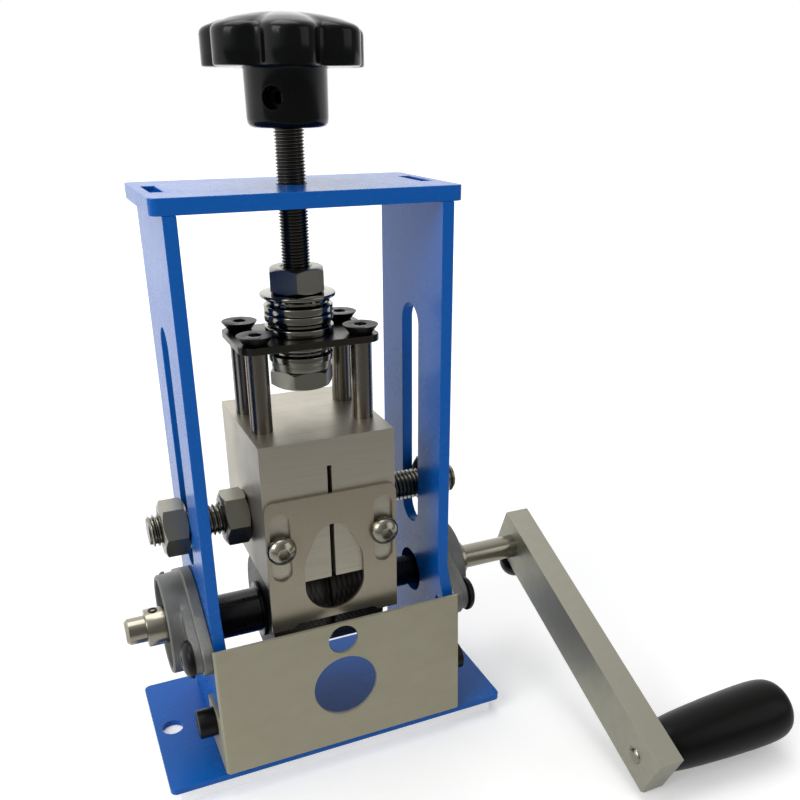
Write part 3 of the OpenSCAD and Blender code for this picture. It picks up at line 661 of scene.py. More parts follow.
def finish_piece(
    name: str,
    bm: Mesh,
    finish: Finish,
    body: str,
    *stands_for: str,
    smooth: float = 32.0,
    weighted: bool = False,
) -> None:
    """Turns a mesh to an object that rides on a body.

    Args:
        name: The piece's name.
        bm: Its mesh, which is freed.
        finish: Its finish.
        body: The CAD body that carries it.
        stands_for: CAD nodes that it replaces.
        smooth: Edges that turn by less than this many degrees are shaded round.
        weighted: True for a piece with large flat faces and narrow roundings.
    """
    mesh = loose_mesh(name, bm)
    mesh.shade_smooth()
    mesh.set_sharp_from_angle(angle=math.radians(smooth))
    mesh.materials.append(finish.build())
    piece = linked(name, mesh)
    if weighted:
        even = piece.modifiers.new("even normals", "WEIGHTED_NORMAL")
        even.keep_sharp = True
    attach(piece, body)
    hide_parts(*stands_for)
    LOG.info("%s: %d faces on %s", name, len(mesh.polygons), body)


def dress(node: str, finish: Finish) -> None:
    """Gives a CAD node its finish.

    Args:
        node: The CAD node's name.
        finish: The finish it takes.
    """
    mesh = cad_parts[node].data
    mesh.materials.clear()
    mesh.materials.append(finish.build())
    LOG.info("%s dressed as %s", node, finish.name)


@dataclass(frozen=True)
class Screw:
    """A hexagon socket screw along Z, its head's underside at the origin.

    Args:
        head_r: Radius of the head in millimetres.
        head_h: Height of the head.
        socket_r: Radius over the corners of its hexagon socket.
        shank_r: Radius of the shank.
        shank: Length of the shank below the head.
    """

    head_r: float
    head_h: float
    socket_r: float
    shank_r: float
    shank: float

    def _foot(self) -> list[Ring]:
        """Rings from the closed end of the shank up to the head."""
        r, end = self.shank_r, -self.shank
        return [(0.0, end), (r - 0.5, end), (r, end + 0.5), (r, 0.0)]

    def _socket(self, high: float, low: float, point: float) -> list[Ring]:
        """Rings of the hexagon socket from its mouth down to the point of its drill.

        Args:
            high: Height of its mouth in millimetres.
            low: Height of its floor's edge.
            point: Height of its floor's middle.

        Returns:
            Three rings.
        """
        flat = self.socket_r * math.cos(math.pi / 6)
        return [
            lambda a: (hexagon(flat, a), high),
            lambda a: (hexagon(flat, a), low),
            (0.0, point),
        ]

    def capped(self) -> Mesh:
        """Makes it with a cylindrical head.

        Returns:
            The closed screw.
        """
        r, top, depth = self.head_r, self.head_h, 0.45
        floor = top - top * depth
        head: list[Ring] = [(r - 0.2, 0.0), (r, 0.2), (r, top - 0.7), (r - 0.2, top - 0.25)]
        head += [(r - 0.7, top), (self.socket_r + 0.5, top)]
        socket = self._socket(high=top - 0.4, low=floor, point=floor - 0.8)
        return lofted(self._foot() + head + socket, sides=48)

    def domed(self) -> Mesh:
        """Makes it with a button head, whose dome stands on a low rim.

        Returns:
            The closed screw.
        """
        rim = 0.6
        head: list[Ring] = [(self.head_r, 0.0)]
        for step in range(7):
            a = step / 8 * math.pi / 2
            r = max(self.head_r * math.cos(a), self.socket_r + 0.3)
            head.append((r, rim + (self.head_h - rim) * math.sin(a)))
        top = self.head_h
        socket = self._socket(high=top * 0.9, low=top * 0.45, point=top * 0.35)
        return lofted(self._foot() + head + socket, sides=48)


def set_screw(radius: float, height: float, socket_r: float) -> Mesh:
    """Makes a headless set screw along Z, its top at the given height.

    Args:
        radius: Its radius in millimetres.
        height: Its length.
        socket_r: Radius of its socket.

    Returns:
        The closed screw, its lower end at the origin.
    """
    edge = 0.3
    rings: list[Ring] = [(0.0, 0.0), (radius - edge, 0.0), (radius, edge)]
    rings += [(radius, height - edge), (radius - edge, height), (socket_r, height)]
    rings += [(socket_r, height * 0.4), (0.0, height * 0.35)]
    return lofted(rings, sides=30)


# Sub-assemblies


@dataclass
class BlueFrame:
    """Base, two side plates and the top plate that their tabs lock into."""

    rounding: float = 0.7
    plates: tuple[str, ...] = ("base_plate", "left_side_plate", "right_side_plate", "top_plate")

    def build(self) -> None:
        """Rounds and paints the four plates."""
        for node in self.plates:
            plate = soften(merged(node), self.rounding, segments=3)
            finish_piece(f"{node}_enamelled", plate, BLUE_ENAMEL, "frame", node, weighted=True)


@dataclass
class FrontCover:
    """Bent sheet cover with its two socket head bolts."""

    flap_x: float = 57.5
    bend_r: float = 1.4
    bend_length: float = 50.0
    front_y: float = -40.0
    corner_z: float = 67.2
    corner_length: float = 1.2
    burr: float = 0.25
    bolt_y: float = -27.5
    bolt_z: float = 22.5
    bolt: Screw = Screw(head_r=6.5, head_h=8.0, socket_r=2.9, shank_r=3.0, shank=5.5)

    def build(self) -> None:
        """Makes the sheet and both bolts."""
        sheet = self._sheet()
        finish_piece("cover_sheet", sheet, COVER_SHEET, "frame", "front_cover", weighted=True)
        for side, axis, x in (("left", "-x", -self.flap_x), ("right", "x", self.flap_x)):
            bolt = aimed(self.bolt.capped(), axis, x, self.bolt_y, self.bolt_z)
            node = f"{side}_cover_bolt"
            finish_piece(f"{side}_cover_cap_screw", bolt, OXIDE, "frame", node)

    def _sheet(self) -> Mesh:
        """Copies the sheet and rounds its bends and upper corners.

        Returns:
            The sheet, in its place.
        """
        bm = merged("front_cover")
        bends = []
        for e in bm.edges:
            a, b = (v.co / MM for v in e.verts)
            outside = min(abs(a.x), abs(b.x)) > self.flap_x - 0.01
            upright = abs(a.z - b.z) > self.bend_length
            if outside and upright and max(a.y, b.y) < self.front_y:
                bends.append(e)
        bevel(bm, bends, self.bend_r, segments=4)
        corners = [
            e
            for e in bm.edges
            if min(abs(v.co.x) for v in e.verts) > (self.flap_x - 2) * MM
            and min(v.co.z for v in e.verts) > self.corner_z * MM
            and abs(e.verts[0].co.y - e.verts[1].co.y) > self.corner_length * MM
        ]
        bevel(bm, corners, self.bend_r, segments=3)
        return soften(bm, self.burr)


@dataclass
class FlangeBearing:
    """One housing with its rings, seal, set screw and two bolts.

    Args:
        side: left or right.
    """

    side: str
    plate_x: float = 56.0
    boss_r: float = 22.5
    boss_h: float = 15.5
    middle_r: float = 24.0
    flange_t: float = 9.0
    step_z: float = 5.2
    step_in: float = 1.5
    end_r: float = 8.5
    race_in_r: float = 14.0
    race_r: float = 18.0
    race_z: float = 1.5
    recess_r: float = 20.5
    recess_z: float = 12.5
    collar_r: float = 8.6
    collar_z: Point = (2.4, 23.4)
    grub_x: float = 19.4
    grub_z: float = 5.8
    shaft_r: float = 6.0
    shaft_z: float = 61.0
    pitch: float = 63.0
    bolt: Screw = Screw(head_r=8.25, head_h=4.4, socket_r=2.6, shank_r=2.4, shank=14.0)

    def _outline(self, a: float) -> float:
        """Radius of the flange at an angle, its bolts lying along Y.

        Args:
            a: Angle in radians.

        Returns:
            Radius in millimetres of the hull of the middle and the two round ends.
        """
        half = self.pitch / 2
        tangent = math.acos((self.middle_r - self.end_r) / half)
        lean = math.atan2(abs(math.cos(a)), abs(math.sin(a)))
        if lean >= tangent:
            return self.middle_r
        side = self.end_r * math.sin(tangent)
        reach = half + self.end_r * math.cos(tangent)
        if lean >= math.atan2(side, reach):
            return self.middle_r / math.cos(lean - tangent)
        root = self.end_r**2 - (half * math.sin(lean)) ** 2
        return half * math.cos(lean) + math.sqrt(max(root, 0.0))

    def _housing(self) -> Mesh:
        """Lofts the stepped oval flange, the boss and its open face.

        Returns:
            The housing, standing on the origin along Z.
        """
        boss, top, face, deep = self.boss_r, self.boss_h, self.flange_t, self.recess_z
        # How far the upper step's rounding draws in, and the chamfer at the boss's rim.
        draw, rim = 1.4, 0.7

        def edge(inset: float, z: float) -> Ring:
            """A ring that follows the flange, but never inside the boss."""
            return lambda a: (max(self._outline(a) - inset, boss), z)

        def near(extra: float, z: float) -> Ring:
            """A ring of the fillet at the foot of the boss."""
            return lambda a: (
                min(max(self._outline(a) - self.step_in - draw, boss), boss + extra),
                z,
            )

        step, race, recess = self.step_z, self.race_r, self.recess_r
        rings: list[Ring] = [(race, 0.0), edge(0.6, 0.0), edge(0.0, 0.6), edge(0.0, step - 0.7)]
        rings += [edge(0.5, step), edge(self.step_in, step + 0.3)]
        rings += [edge(self.step_in + 0.3, face - 0.8), edge(self.step_in + draw, face)]
        rings += [near(1.2, face), near(0.4, face + 0.35), near(0.0, face + 1.2)]
        rings += [(boss, top - rim), (boss - rim, top), (recess + 0.5, top)]
        rings += [(recess, top - 0.5), (recess, deep), (race, deep), (race, 0.0)]
        return lofted(rings, sides=128)

    def build(self) -> None:
        """Makes every piece of the bearing."""
        side = self.side
        sign, axis = (-1, "-x") if side == "left" else (1, "x")

        def put(bm: Mesh, y: float = 0.0, x: float = 0.0) -> Mesh:
            """Moves a mesh that stands on the plate's outer face to its place."""
            return aimed(bm, axis, sign * (self.plate_x + x), y, self.shaft_z)

        # The seal's lip and rim stand up from its sunk face.
        seal = [(8.65, 3), (13.9, 3), (13.9, 11.5), (12.6, 11.5), (12.2, 10.9), (9.4, 10.9)]
        seal += [(8.65, 11.3)]
        race = soften(tube(self.race_in_r, self.race_r, self.race_z, self.recess_z), width=0.4)
        inner = soften(tube(self.shaft_r, self.collar_r, *self.collar_z), width=0.6)
        grub = set_screw(radius=2.2, height=3.0, socket_r=1.1)
        aimed(grub, "z", sign * (self.plate_x + self.grub_x), 0, self.shaft_z + self.grub_z)
        half = self.pitch / 2
        heads = joined([put(self.bolt.domed(), y, self.flange_t) for y in (-half, half)])
        for name, bm, finish, body, node in (
            ("cast_housing", put(self._housing()), CAST, "frame", "housing"),
            ("race", put(race), RING_STEEL, "frame", "outer_ring"),
            ("seal", put(turned(seal)), SEAL_RUBBER, "frame", "ball_row"),
            ("inner_race", put(inner), BRIGHT, "drive", "inner_ring"),
            ("grub_screw", grub, OXIDE, "drive", "ring_screw"),
            ("flange_screws", heads, OXIDE, "frame", "flange_bolts"),
        ):
            finish_piece(f"{side}_{name}", bm, finish, body, f"{side}_{node}")


@dataclass
class DriveLine:
    """Shaft, wheel, spacers, crank arm and grip."""

    shaft_z: float = 61.0
    shaft_r: float = 6.0
    left_end: float = -88.2
    right_end: float = 122.4
    wheel_r: float = 24.5
    wheel_half: float = 26.5
    groove_depth: float = 4.0
    groove_half: float = 2.0
    sleeve_drop: float = 2.95
    spacer_r: float = 7.3
    spacer_end: float = 58.4
    arm_x: float = 109.8
    arm_t: float = 12.6
    arm_w: float = 25.6
    arm_len: float = 124.0
    arm_angle: float = 23.5
    worn_edge: float = 2.4
    lock_screw: Screw = Screw(head_r=8.5, head_h=10.5, socket_r=3.2, shank_r=3.0, shank=6.7)
    grip_gap: float = 0.1
    bolt_r: float = 4.0
    bolt_length: float = 64.0

    def build(self) -> None:
        """Makes the turning pieces from left to right."""
        r, left, right = self.shaft_r, self.left_end, self.right_end
        shaft = [(0, left), (4.6, left), (r, left + 1.4), (r, right - 0.4), (r - 0.4, right)]
        shaft += [(0, right)]
        sleeve = [(9.0, -51), (10.3, -51), (10.3, -28.2), (13, -28.2), (13, -26.6), (9.0, -26.6)]
        sleeve = soften(turned(sleeve), width=0.25)
        spacer = tube(r, self.spacer_r, self.wheel_half, self.spacer_end)
        for name, bm, finish, body, drop, *nodes in (
            ("ground_shaft", turned(shaft, closed=False), BRIGHT, "drive", 0, "drive_shaft"),
            # The wheel's finish is darkened as painted shade.
            ("knurled_wheel", self._wheel(), SHADE_DARKENED_WHEEL, "drive", 0, *WHEEL_NODES),
            ("loose_sleeve", sleeve, NYLON, "frame", self.sleeve_drop, "left_sleeve"),
            ("nylon_spacer", spacer, NYLON, "drive", 0, "right_spacer"),
        ):
            finish_piece(name, aimed(bm, "x", 0, 0, self.shaft_z - drop), finish, body, *nodes)
        finish_piece("crank_bar", self._bar(), BAR_STEEL, "drive", "crank_arm", weighted=True)
        middle = self.arm_x + self.arm_t / 2
        screw = aimed(self.lock_screw.domed(), "-z", middle, 0, -self.arm_w / 2)
        finish_piece("crank_lock_screw", self._crank_place(screw), OXIDE, "drive", "arm_screw")
        self._grip()

    def _wheel(self) -> Mesh:
        """Makes the wheel with its blade groove and chamfered rims.

        Returns:
            The wheel along Z, its middle at the origin.
        """
        r, end, groove = self.wheel_r, self.wheel_half, self.groove_half
        left = [(self.shaft_r, -end), (r - 1, -end), (r, -end + 1), (r, -groove - 0.3)]
        left += [(r - 0.3, -groove), (r - self.groove_depth, -groove)]
        return turned(left + [(radius, -x) for radius, x in reversed(left)], steps=96)

    def _crank_place(self, bm: Mesh) -> Mesh:
        """Turns a mesh from the arm's own level frame to the arm's angle.

        Args:
            bm: The mesh, the shaft's axis being its origin and the arm along -Y.

        Returns:
            The same mesh.
        """
        lean = Matrix.Rotation(math.radians(self.arm_angle), 4, "X")
        turn = Matrix.Translation((0, 0, self.shaft_z * MM)) @ lean
        bmesh.ops.transform(bm, matrix=turn, verts=bm.verts)
        return bm

    def _bar(self) -> Mesh:
        """Copies the arm and grinds off its lower inner edge.

        Returns:
            The arm, in its place.
        """
        bm = merged("crank_arm")
        back = Matrix.Rotation(math.radians(-self.arm_angle), 3, "X")
        near = 0.05
        ground = []
        for e in bm.edges:
            ends = [back @ (v.co - Vector((0, 0, self.shaft_z * MM))) / MM for v in e.verts]
            inner = max(abs(p.x - self.arm_x) for p in ends) < near
            lower = max(abs(p.z + self.arm_w / 2) for p in ends) < near
            if inner and lower:
                ground.append(e)
        bevel(bm, ground, self.worn_edge, segments=2)
        return soften(bm, width=0.45)

    def _grip(self) -> None:
        """Makes the barrel grip and the shoulder bolt that it spins on."""
        x0 = self.arm_x + self.arm_t + self.grip_gap
        bore, floor = self.bolt_r + 0.05, self.bolt_length + self.grip_gap
        # The barrel swells towards its far end, where the bolt's head is sunk.
        outline = [(bore, 0.0), (10.7, 0.0), (11.3, 0.3), (11.55, 0.9), (12.1, 5), (12.8, 11)]
        outline += [(13.4, 18), (13.9, 26), (14.3, 33), (14.6, 40), (14.85, 47), (14.95, 53)]
        outline += [(14.95, 58), (14.8, 61.5), (14.5, 64.3), (14.0, 66.6), (13.2, 68.4)]
        outline += [(12.2, 69.5), (11.0, 70), (8.2, 70), (7.0, 69.2), (7.0, floor), (bore, floor)]
        barrel = aimed(turned(outline, steps=72), "x", x0, -self.arm_len, 0)
        finish_piece("barrel_grip", self._crank_place(barrel), GRIP_BLACK, "handle", "grip")
        r, head = self.bolt_r, self.arm_t + self.bolt_length
        # The riveted end stands out of the arm's inner face, and the head is at the far end.
        outline = [(0, -1.5), (1.6, -1.45), (2.8, -1.15), (3.6, -0.6), (3.95, 0.05), (r, 0.2)]
        outline += [(r, head + 0.1), (6.5, head + 0.1), (6.5, head + 3.6), (6.0, head + 4.1)]
        bolt = turned([*outline, (0, head + 4.1)], closed=False)
        aimed(bolt, "x", self.arm_x, -self.arm_len, 0)
        finish_piece("grip_shoulder_bolt", self._crank_place(bolt), BRIGHT, "drive", "grip_bolt")


@dataclass
class PressScrew:
    """Lead screw, knob, nuts and thrust bearings that turn together."""

    screw_d: float = 12.0
    pitch: float = 1.25
    low: float = 166.2
    high: float = 295.5
    screw_chamfer: float = 0.8
    hub_z: float = 268.5
    hub_r: float = 15.8
    knob_z: float = 289.2
    knob_r: float = 31.15
    core_r: float = 25.9
    lobe_r: float = 10.5
    lobes: int = 7
    knob_turn: float = -101.5
    rim_h: float = 12.8
    dome_h: float = 5.5
    cross_z: float = 278.85
    cross_r: float = 4.0
    cross_turn: float = -36.5
    ring_r: float = 14.5
    low_ring_r: float = 13.7
    nut_flats: float = 21.8
    nut_h: float = 10.2
    nut_z: float = 205.8
    nut_turn: float = 13.5
    low_nut_flats: float = 24.0
    low_nut_h: float = 8.0
    low_nut_z: float = 166.0
    low_nut_turn: float = 0.5
    collar_r: float = 12.7
    collar_z: Point = (7.8, 11.4)
    cage_in_r: float = 6.6
    cage_half: float = 0.4
    cage_in: float = 1.1
    balls: int = 12

    def build(self) -> None:
        """Makes the pieces from the knob down."""
        screw = thread(self.screw_d, self.pitch, self.low, self.high, self.screw_chamfer)
        finish_piece("lead_screw_thread", screw, THREAD, "spindle", "lead_screw", smooth=25)
        finish_piece("lobed_knob", self._knob(), PHENOLIC, "spindle", "knob", smooth=42)
        cross = set_screw(self.cross_r, height=16.0, socket_r=2.3)
        spun(aimed(cross, "-y", 0, 8.0, self.cross_z), self.cross_turn)
        finish_piece("knob_cross_screw", cross, OXIDE, "spindle", "knob_screw")
        self._stack()

    def _lobe(self, a: float) -> float:
        """Gives the radius of the knob's head: round lobes that blend into the core.

        Args:
            a: Angle in radians.

        Returns:
            The radius in millimetres.
        """
        reach = self.knob_r - self.lobe_r
        step = math.tau / self.lobes
        b = (a - math.radians(self.knob_turn) + step / 2) % step - step / 2
        inside = self.lobe_r**2 - (reach * math.sin(b)) ** 2
        lobe = reach * math.cos(b) + math.sqrt(max(inside, 0.0))
        # A smooth maximum of lobe and core rounds the corner between them.
        soft = 0.35
        return soft * math.log(math.exp(lobe / soft) + math.exp(self.core_r / soft))

    def _knob(self) -> Mesh:
        """Makes the domed head with its lobes and the bored hub below it.

        Returns:
            The knob, in its place.
        """

        def head(share: float, z: float) -> Ring:
            """A ring that follows the lobes, drawn in to a share."""
            return lambda a: (self._lobe(a) * share, z)

        low, base, hub = self.hub_z, self.knob_z, self.hub_r
        rim = base + self.rim_h
        # The hub, from its bored lower face out and up to the head.
        rings: list[Ring] = [(0.0, low + 0.8), (6.0, low + 0.8), (6.8, low), (hub - 2.6, low)]
        rings += [(hub - 1.3, low + 0.5), (hub - 0.5, low + 1.5), (hub - 0.2, low + 3.2)]
        rings += [(hub, base - 0.7), (hub + 0.6, base)]
        # The head's lower edge, its side, its rounded upper edge and its dome.
        rings += [head(0.968, base), head(0.992, base + 0.25), head(1.0, base + 0.9)]
        rings += [head(1.0, rim - 1.9), head(0.992, rim - 0.8), head(0.97, rim + 0.1)]
        rings += [head(0.93, rim + 0.85), head(0.87, rim + 1.5)]
        for share in (0.78, 0.68, 0.56, 0.42, 0.28, 0.14):
            rings.append(head(share, rim + self.dome_h * (1 - 0.9 * share**2)))
        rings.append((0.0, rim + self.dome_h))
        bore, length = self.cross_r + 0.05, 40.0
        drill = lofted([(0.0, 0.0), (bore, 0.0), (bore, length), (0.0, length)], sides=40)
        spun(aimed(drill, "-y", 0, length / 2, self.cross_z), self.cross_turn)
        return cut_away(lofted(rings, sides=210), drill)

    def _stack(self) -> None:
        """Makes the nuts, washer, rings and balls on the screw."""
        upper = hex_nut(self.nut_flats, self.screw_d, self.nut_h, self.nut_turn)
        aimed(upper, "z", 0, 0, self.nut_z)
        finish_piece("upper_hex_nut", upper, NUT_STEEL, "spindle", "upper_nut")
        nut = hex_nut(self.low_nut_flats, self.screw_d, self.low_nut_h, self.low_nut_turn)
        collar = soften(tube(self.screw_d / 2, self.collar_r, *self.collar_z), width=0.35)
        lower = aimed(joined([nut, collar]), "z", 0, 0, self.low_nut_z)
        finish_piece("lower_collar_nut", lower, NUT_STEEL, "spindle", "lower_nut")
        big, small = self.ring_r, self.low_ring_r
        # Outer and inner radius, lower and upper face.
        for name, outer, inner, low, high, node, body in (
            ("clamp_washer_ring", 15.8, 6.0, 204.1, 205.6, "clamp_washer", "spindle"),
            ("upper_thrust_ring", big, 6.0, 197.7, 200.9, "upper_ring", "spindle"),
            ("middle_thrust_ring", big, 6.0, 194.3, 197.5, "middle_ring", "spindle"),
            ("plate_thrust_ring", big, 6.6, 188.8, 192.1, "plate_ring", "carriage"),
            ("low_plate_thrust_ring", small, 6.6, 182.8, 185.8, "low_plate_ring", "carriage"),
            ("low_thrust_ring", small, 6.0, 177.4, 180.4, "low_ring", "spindle"),
        ):
            ring = soften(tube(inner, outer, low, high, steps=72), width=0.45, segments=3)
            finish_piece(name, ring, RING_STEEL, body, node)
        # Lower and upper race, and the outer radius.
        for name, low, high, outer, node in (
            ("upper_cage", 200.9, 204.0, big - self.cage_in, "upper_balls"),
            ("middle_cage", 192.2, 194.3, big - self.cage_in, "middle_balls"),
            ("lower_cage", 180.4, 182.7, small - self.cage_in, "lower_balls"),
        ):
            finish_piece(name, self._cage(low, high, outer), RING_STEEL, "spindle", node)

    def _cage(self, low: float, high: float, outer: float) -> Mesh:
        """Makes one row of balls in a thin cage.

        Args:
            low: Height of the lower race in millimetres.
            high: Height of the upper race.
            outer: Outer radius of the cage.

        Returns:
            Balls and cage as one mesh.
        """
        mid, radius = (low + high) / 2, (high - low) / 2
        parts = [tube(self.cage_in_r, outer, mid - self.cage_half, mid + self.cage_half)]
        rim = 0.2
        reach = outer - radius - rim
        for k in range(self.balls):
            ball = bmesh.new()
            bmesh.ops.create_icosphere(ball, subdivisions=2, radius=radius * MM)
            a = math.tau * k / self.balls
            parts.append(aimed(ball, "z", reach * math.cos(a), reach * math.sin(a), mid))
        return joined(parts)


@dataclass
class Carriage:
    """Cutting block with its posts, press plate, cross rod, blade and wire guide."""

    post_x: float = 22.5
    post_y: float = 13.0
    post_r: float = 4.6
    block_z1: float = 151.7
    press_z0: float = 185.8
    rod_z: float = 108.5
    rod_half: float = 72.5
    rod_d: float = 14.0
    rod_pitch: float = 2.0
    rod_chamfer: float = 1.3
    nut_flats: float = 21.8
    nut_h: float = 11.0
    nut_turn: float = 30.0
    guide_y: float = -33.7
    guide_screw_x: float = 23.2
    guide_screw_z: float = 105.3
    guide_screw: Screw = Screw(head_r=6.4, head_h=5.0, socket_r=2.6, shank_r=4.0, shank=16.0)

    def build(self) -> None:
        """Makes the pieces that move up and down."""
        self._copy("ground_block", "cutting_block", 0.8, GROUND_X)
        self._copy("blued_press_plate", "press_plate", 0.5, BLUED_PLATE)
        r, low, high = self.post_r, self.block_z1, self.press_z0
        profile = [(0, low), (r, low), (r, high - 0.4), (r - 0.4, high), (0, high)]
        posts = [
            aimed(turned(profile, closed=False, steps=40), "z", x, y, 0)
            for x in (-self.post_x, self.post_x)
            for y in (-self.post_y, self.post_y)
        ]
        # The posts' colour is darkened as painted shade.
        finish_piece("shade_darkened_posts", joined(posts), SHADE_DARKENED_POST_STEEL, "carriage", "posts")
        self._copy("countersunk_screws", "post_screws", 0.25, OXIDE, weighted=False)
        rod = thread(self.rod_d, self.rod_pitch, -self.rod_half, self.rod_half, self.rod_chamfer)
        aimed(rod, "x", 0, 0, self.rod_z)
        finish_piece("cross_rod_thread", rod, ROD_THREAD, "carriage", "cross_rod", smooth=25)
        for name, x, node in (
            ("left_outer_hex_nut", -67.1, "left_rod_nut"),
            ("right_outer_hex_nut", 56.1, "right_rod_nut"),
            ("block_jam_nut", -40.5, "block_nut"),
        ):
            nut = hex_nut(self.nut_flats, self.rod_d, self.nut_h, self.nut_turn)
            finish_piece(name, aimed(nut, "x", x, 0, self.rod_z), NUT_STEEL, "carriage", node)
        dress("cutting_blade", BLADE)
        self._copy("ground_guide_plate", "guide_plate", 0.3, GROUND_Z, body="guide")
        heads = [
            aimed(self.guide_screw.domed(), "-y", x, self.guide_y, self.guide_screw_z)
            for x in (-self.guide_screw_x, self.guide_screw_x)
        ]
        finish_piece("guide_button_screws", joined(heads), BRIGHT, "carriage", "guide_screws")

    @staticmethod
    def _copy(
        name: str,
        node: str,
        width: float,
        finish: Finish,
        body: str = "carriage",
        weighted: bool = True,
    ) -> None:
        """Copies a CAD node and rounds its edges.

        Args:
            name: The piece's name.
            node: The CAD node's name.
            width: Width of the rounding in millimetres.
            finish: Its finish.
            body: The CAD body that carries it.
            weighted: True for a piece with large flat faces.
        """
        bm = soften(merged(node), width)
        finish_piece(name, bm, finish, body, node, weighted=weighted)


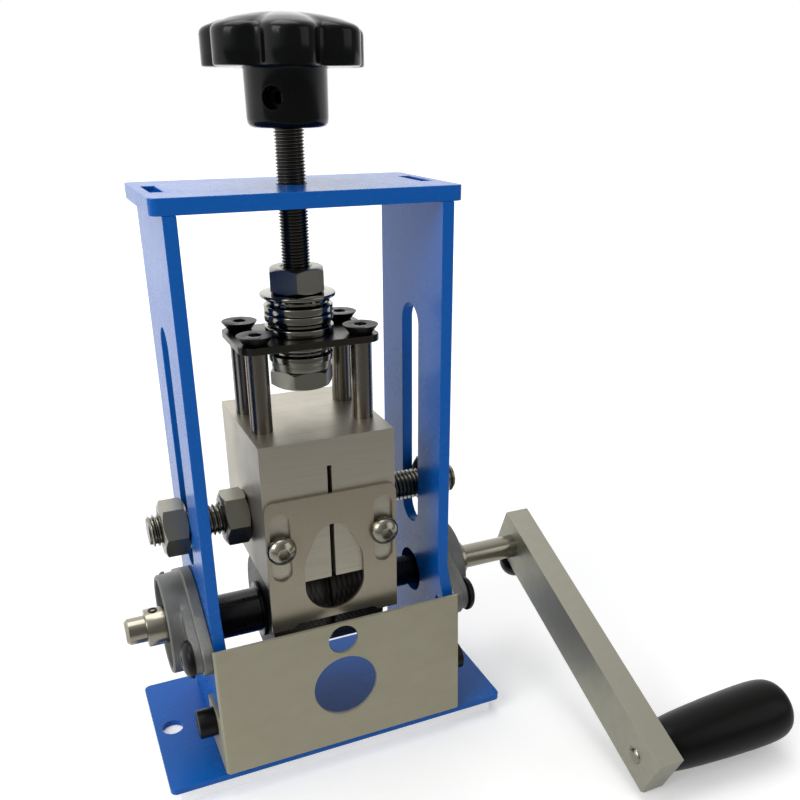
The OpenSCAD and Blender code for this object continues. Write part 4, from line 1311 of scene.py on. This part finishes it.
@dataclass
class Studio:
    """Camera, lamps, bench, floor and the room around them."""

    place: Place = (-0.1018, -0.34479, 0.28081)
    yaw: float = 24.065
    pitch: float = -24.51
    lens: float = 38.57
    film: float = 36.0
    shift: Point = (-0.0155, 0.1033)
    target: Place = (0.0, 0.0, 0.13)
    window: Place = (-0.7, 1.0, 0.35)
    white: tuple[float, float, float, float] = (1.0, 1.0, 1.0, 1.0)

    def build(self) -> None:
        """Makes everything that isn't part of the machine."""
        self._camera()
        self._lamps()
        self._stage(self._floor_paint())
        self._room()
        bpy.context.scene.view_settings.view_transform = "Standard"

    def _camera(self) -> None:
        """Sets the camera where the photograph was taken from."""
        data = bpy.data.cameras.new("camera")
        data.lens = self.lens
        data.sensor_width = self.film
        data.shift_x, data.shift_y = self.shift
        data.clip_start = 0.01
        camera = linked("camera", data)
        camera.location = self.place
        camera.rotation_euler = (math.radians(90 + self.pitch), 0.0, math.radians(-self.yaw))
        bpy.context.scene.camera = camera

    def _lamps(self) -> None:
        """Hangs a soft key at the left, a fill at the right and a lamp overhead."""
        # Place and width in metres, and power in watts.
        for name, at, size, watts in (
            ("key", (-1.1, -0.5, 0.9), 0.7, 8.5),
            ("fill", (1.0, -0.9, 0.7), 0.9, 3),
            ("top", (-0.1, 0.2, 1.4), 0.9, 8),
        ):
            data = bpy.data.lights.new(name, "AREA")
            data.shape = "SQUARE"
            data.size = size
            data.energy = watts
            lamp = linked(name, data)
            lamp.location = at
            way = Vector(self.target) - Vector(at)
            lamp.rotation_euler = way.to_track_quat("-Z", "Y").to_euler()

    def _floor_paint(self) -> bpy.types.Material:
        """Makes the floor's paint: white to the camera and to shiny faces away from the front,
        and painted black towards the front for shiny faces as painted shade.

        Returns:
            The material.
        """
        pale = bpy.data.materials.new("plain pale floor")
        pale.use_nodes = True
        tree = pale.node_tree
        shader = tree.nodes["Principled BSDF"]
        shader.inputs["Roughness"].default_value = 0.9
        rays = add_node(tree, "LightPath").outputs
        where = add_node(tree, "TexCoord").outputs["Object"]
        along = add_node(tree, "SeparateXYZ", {0: where}).outputs["Y"]
        away = add_node(tree, "VectorMath", {0: where}, operation="LENGTH").outputs["Value"]
        # Towards the front the floor turns black to glossy rays and stops glowing for them:
        # painted shade that stands for a dim room in front, so shiny faces find little to mirror
        # there.
        # The floor fades to plain white away from the machine, so no horizon shows.
        front, fade = (
            add_node(tree, "MapRange", dict(zip(RANGE_INPUTS, span))).outputs["Result"]
            for span in ((along, -0.02, -0.4, 0.0, 0.85), (away, 0.3, 1.3, 0.25, 0.85))
        )
        camera, glossy = rays["Is Camera Ray"], rays["Is Glossy Ray"]
        values = {"one": 1.0, "front": front, "fade": fade, "camera": camera, "glossy": glossy}
        for name, how, first, second in (
            ("dim", "MULTIPLY", "front", "glossy"),
            ("lit", "SUBTRACT", "one", "dim"),
            ("shown", "MAXIMUM", "camera", "glossy"),
            ("seen", "MULTIPLY", "shown", "lit"),
            ("glow", "MULTIPLY", "seen", "fade"),
        ):
            sides = {0: values[first], 1: values[second]}
            values[name] = add_node(tree, "Math", sides, operation=how).outputs["Value"]
        # The base colour goes from pale grey to black with the painted shade, seen only in
        # reflections.
        shades = {"Factor": values["dim"], "A": (0.9, 0.9, 0.9, 1.0), "B": (0.0, 0.0, 0.0, 1.0)}
        paint = add_node(tree, "Mix", shades, data_type="RGBA")
        tree.links.new(paint.outputs["Result"], shader.inputs["Base Color"])
        shader.inputs["Emission Color"].default_value = self.white
        tree.links.new(values["glow"], shader.inputs["Emission Strength"])
        return pale

    def _room(self) -> None:
        """Sets the world: a bright wall behind, a window at the left and a dim room in front."""
        world = bpy.data.worlds.new("studio")
        world.use_nodes = True
        sky = world.node_tree
        back = sky.nodes["Background"]
        back.inputs["Color"].default_value = self.white
        rays = add_node(sky, "LightPath").outputs
        sight = {0: add_node(sky, "TexCoord").outputs["Generated"], 1: self.window}
        bright = add_node(sky, "VectorMath", sight, operation="DOT_PRODUCT").outputs["Value"]
        # How bright the room is from its dim to its bright side, to dull and to shiny faces.
        soft, mirrored = (
            add_node(sky, "MapRange", dict(zip(RANGE_INPUTS, (bright, -0.6, 0.8, *levels))))
            for levels in ((0.2, 0.6), (0.3, 1.5))
        )
        ends = {"A": soft.outputs["Result"], "B": mirrored.outputs["Result"]}
        bounced = add_node(sky, "Mix", {"Factor": rays["Is Glossy Ray"], **ends})
        ends = {"A": bounced.outputs["Result"], "B": 1.0}
        level = add_node(sky, "Mix", {"Factor": rays["Is Camera Ray"], **ends})
        sky.links.new(level.outputs["Result"], back.inputs["Strength"])
        bpy.context.scene.world = world

    @staticmethod
    def _stage(paint: bpy.types.Material) -> None:
        """Lays the floor and the slab that the machine stands on.

        Args:
            paint: The material of both.
        """
        # The crank's end reaches below the base, so the floor is lower than the slab's top.
        for name, centre, size in (
            ("floor", (0.0, 0.0, -0.5085), (12.0, 12.0, 1.0)),
            ("bench", (0.0, -0.0026, -0.00425), (0.156, 0.0713, 0.0085)),
        ):
            bm = bmesh.new()
            bmesh.ops.create_cube(bm, size=1.0)
            bmesh.ops.scale(bm, vec=size, verts=bm.verts)
            bmesh.ops.translate(bm, vec=centre, verts=bm.verts)
            mesh = loose_mesh(name, bm)
            mesh.materials.append(paint)
            linked(name, mesh)


def main() -> None:
    """Builds the whole scene."""
    logging.basicConfig(level=logging.INFO, format="%(message)s")
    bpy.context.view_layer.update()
    Studio().build()
    BlueFrame().build()
    FrontCover().build()
    FlangeBearing("left").build()
    FlangeBearing("right").build()
    DriveLine().build()
    dress("wheel_key", BRIGHT)
    PressScrew().build()
    Carriage().build()


if __name__ == "__main__":
    main()
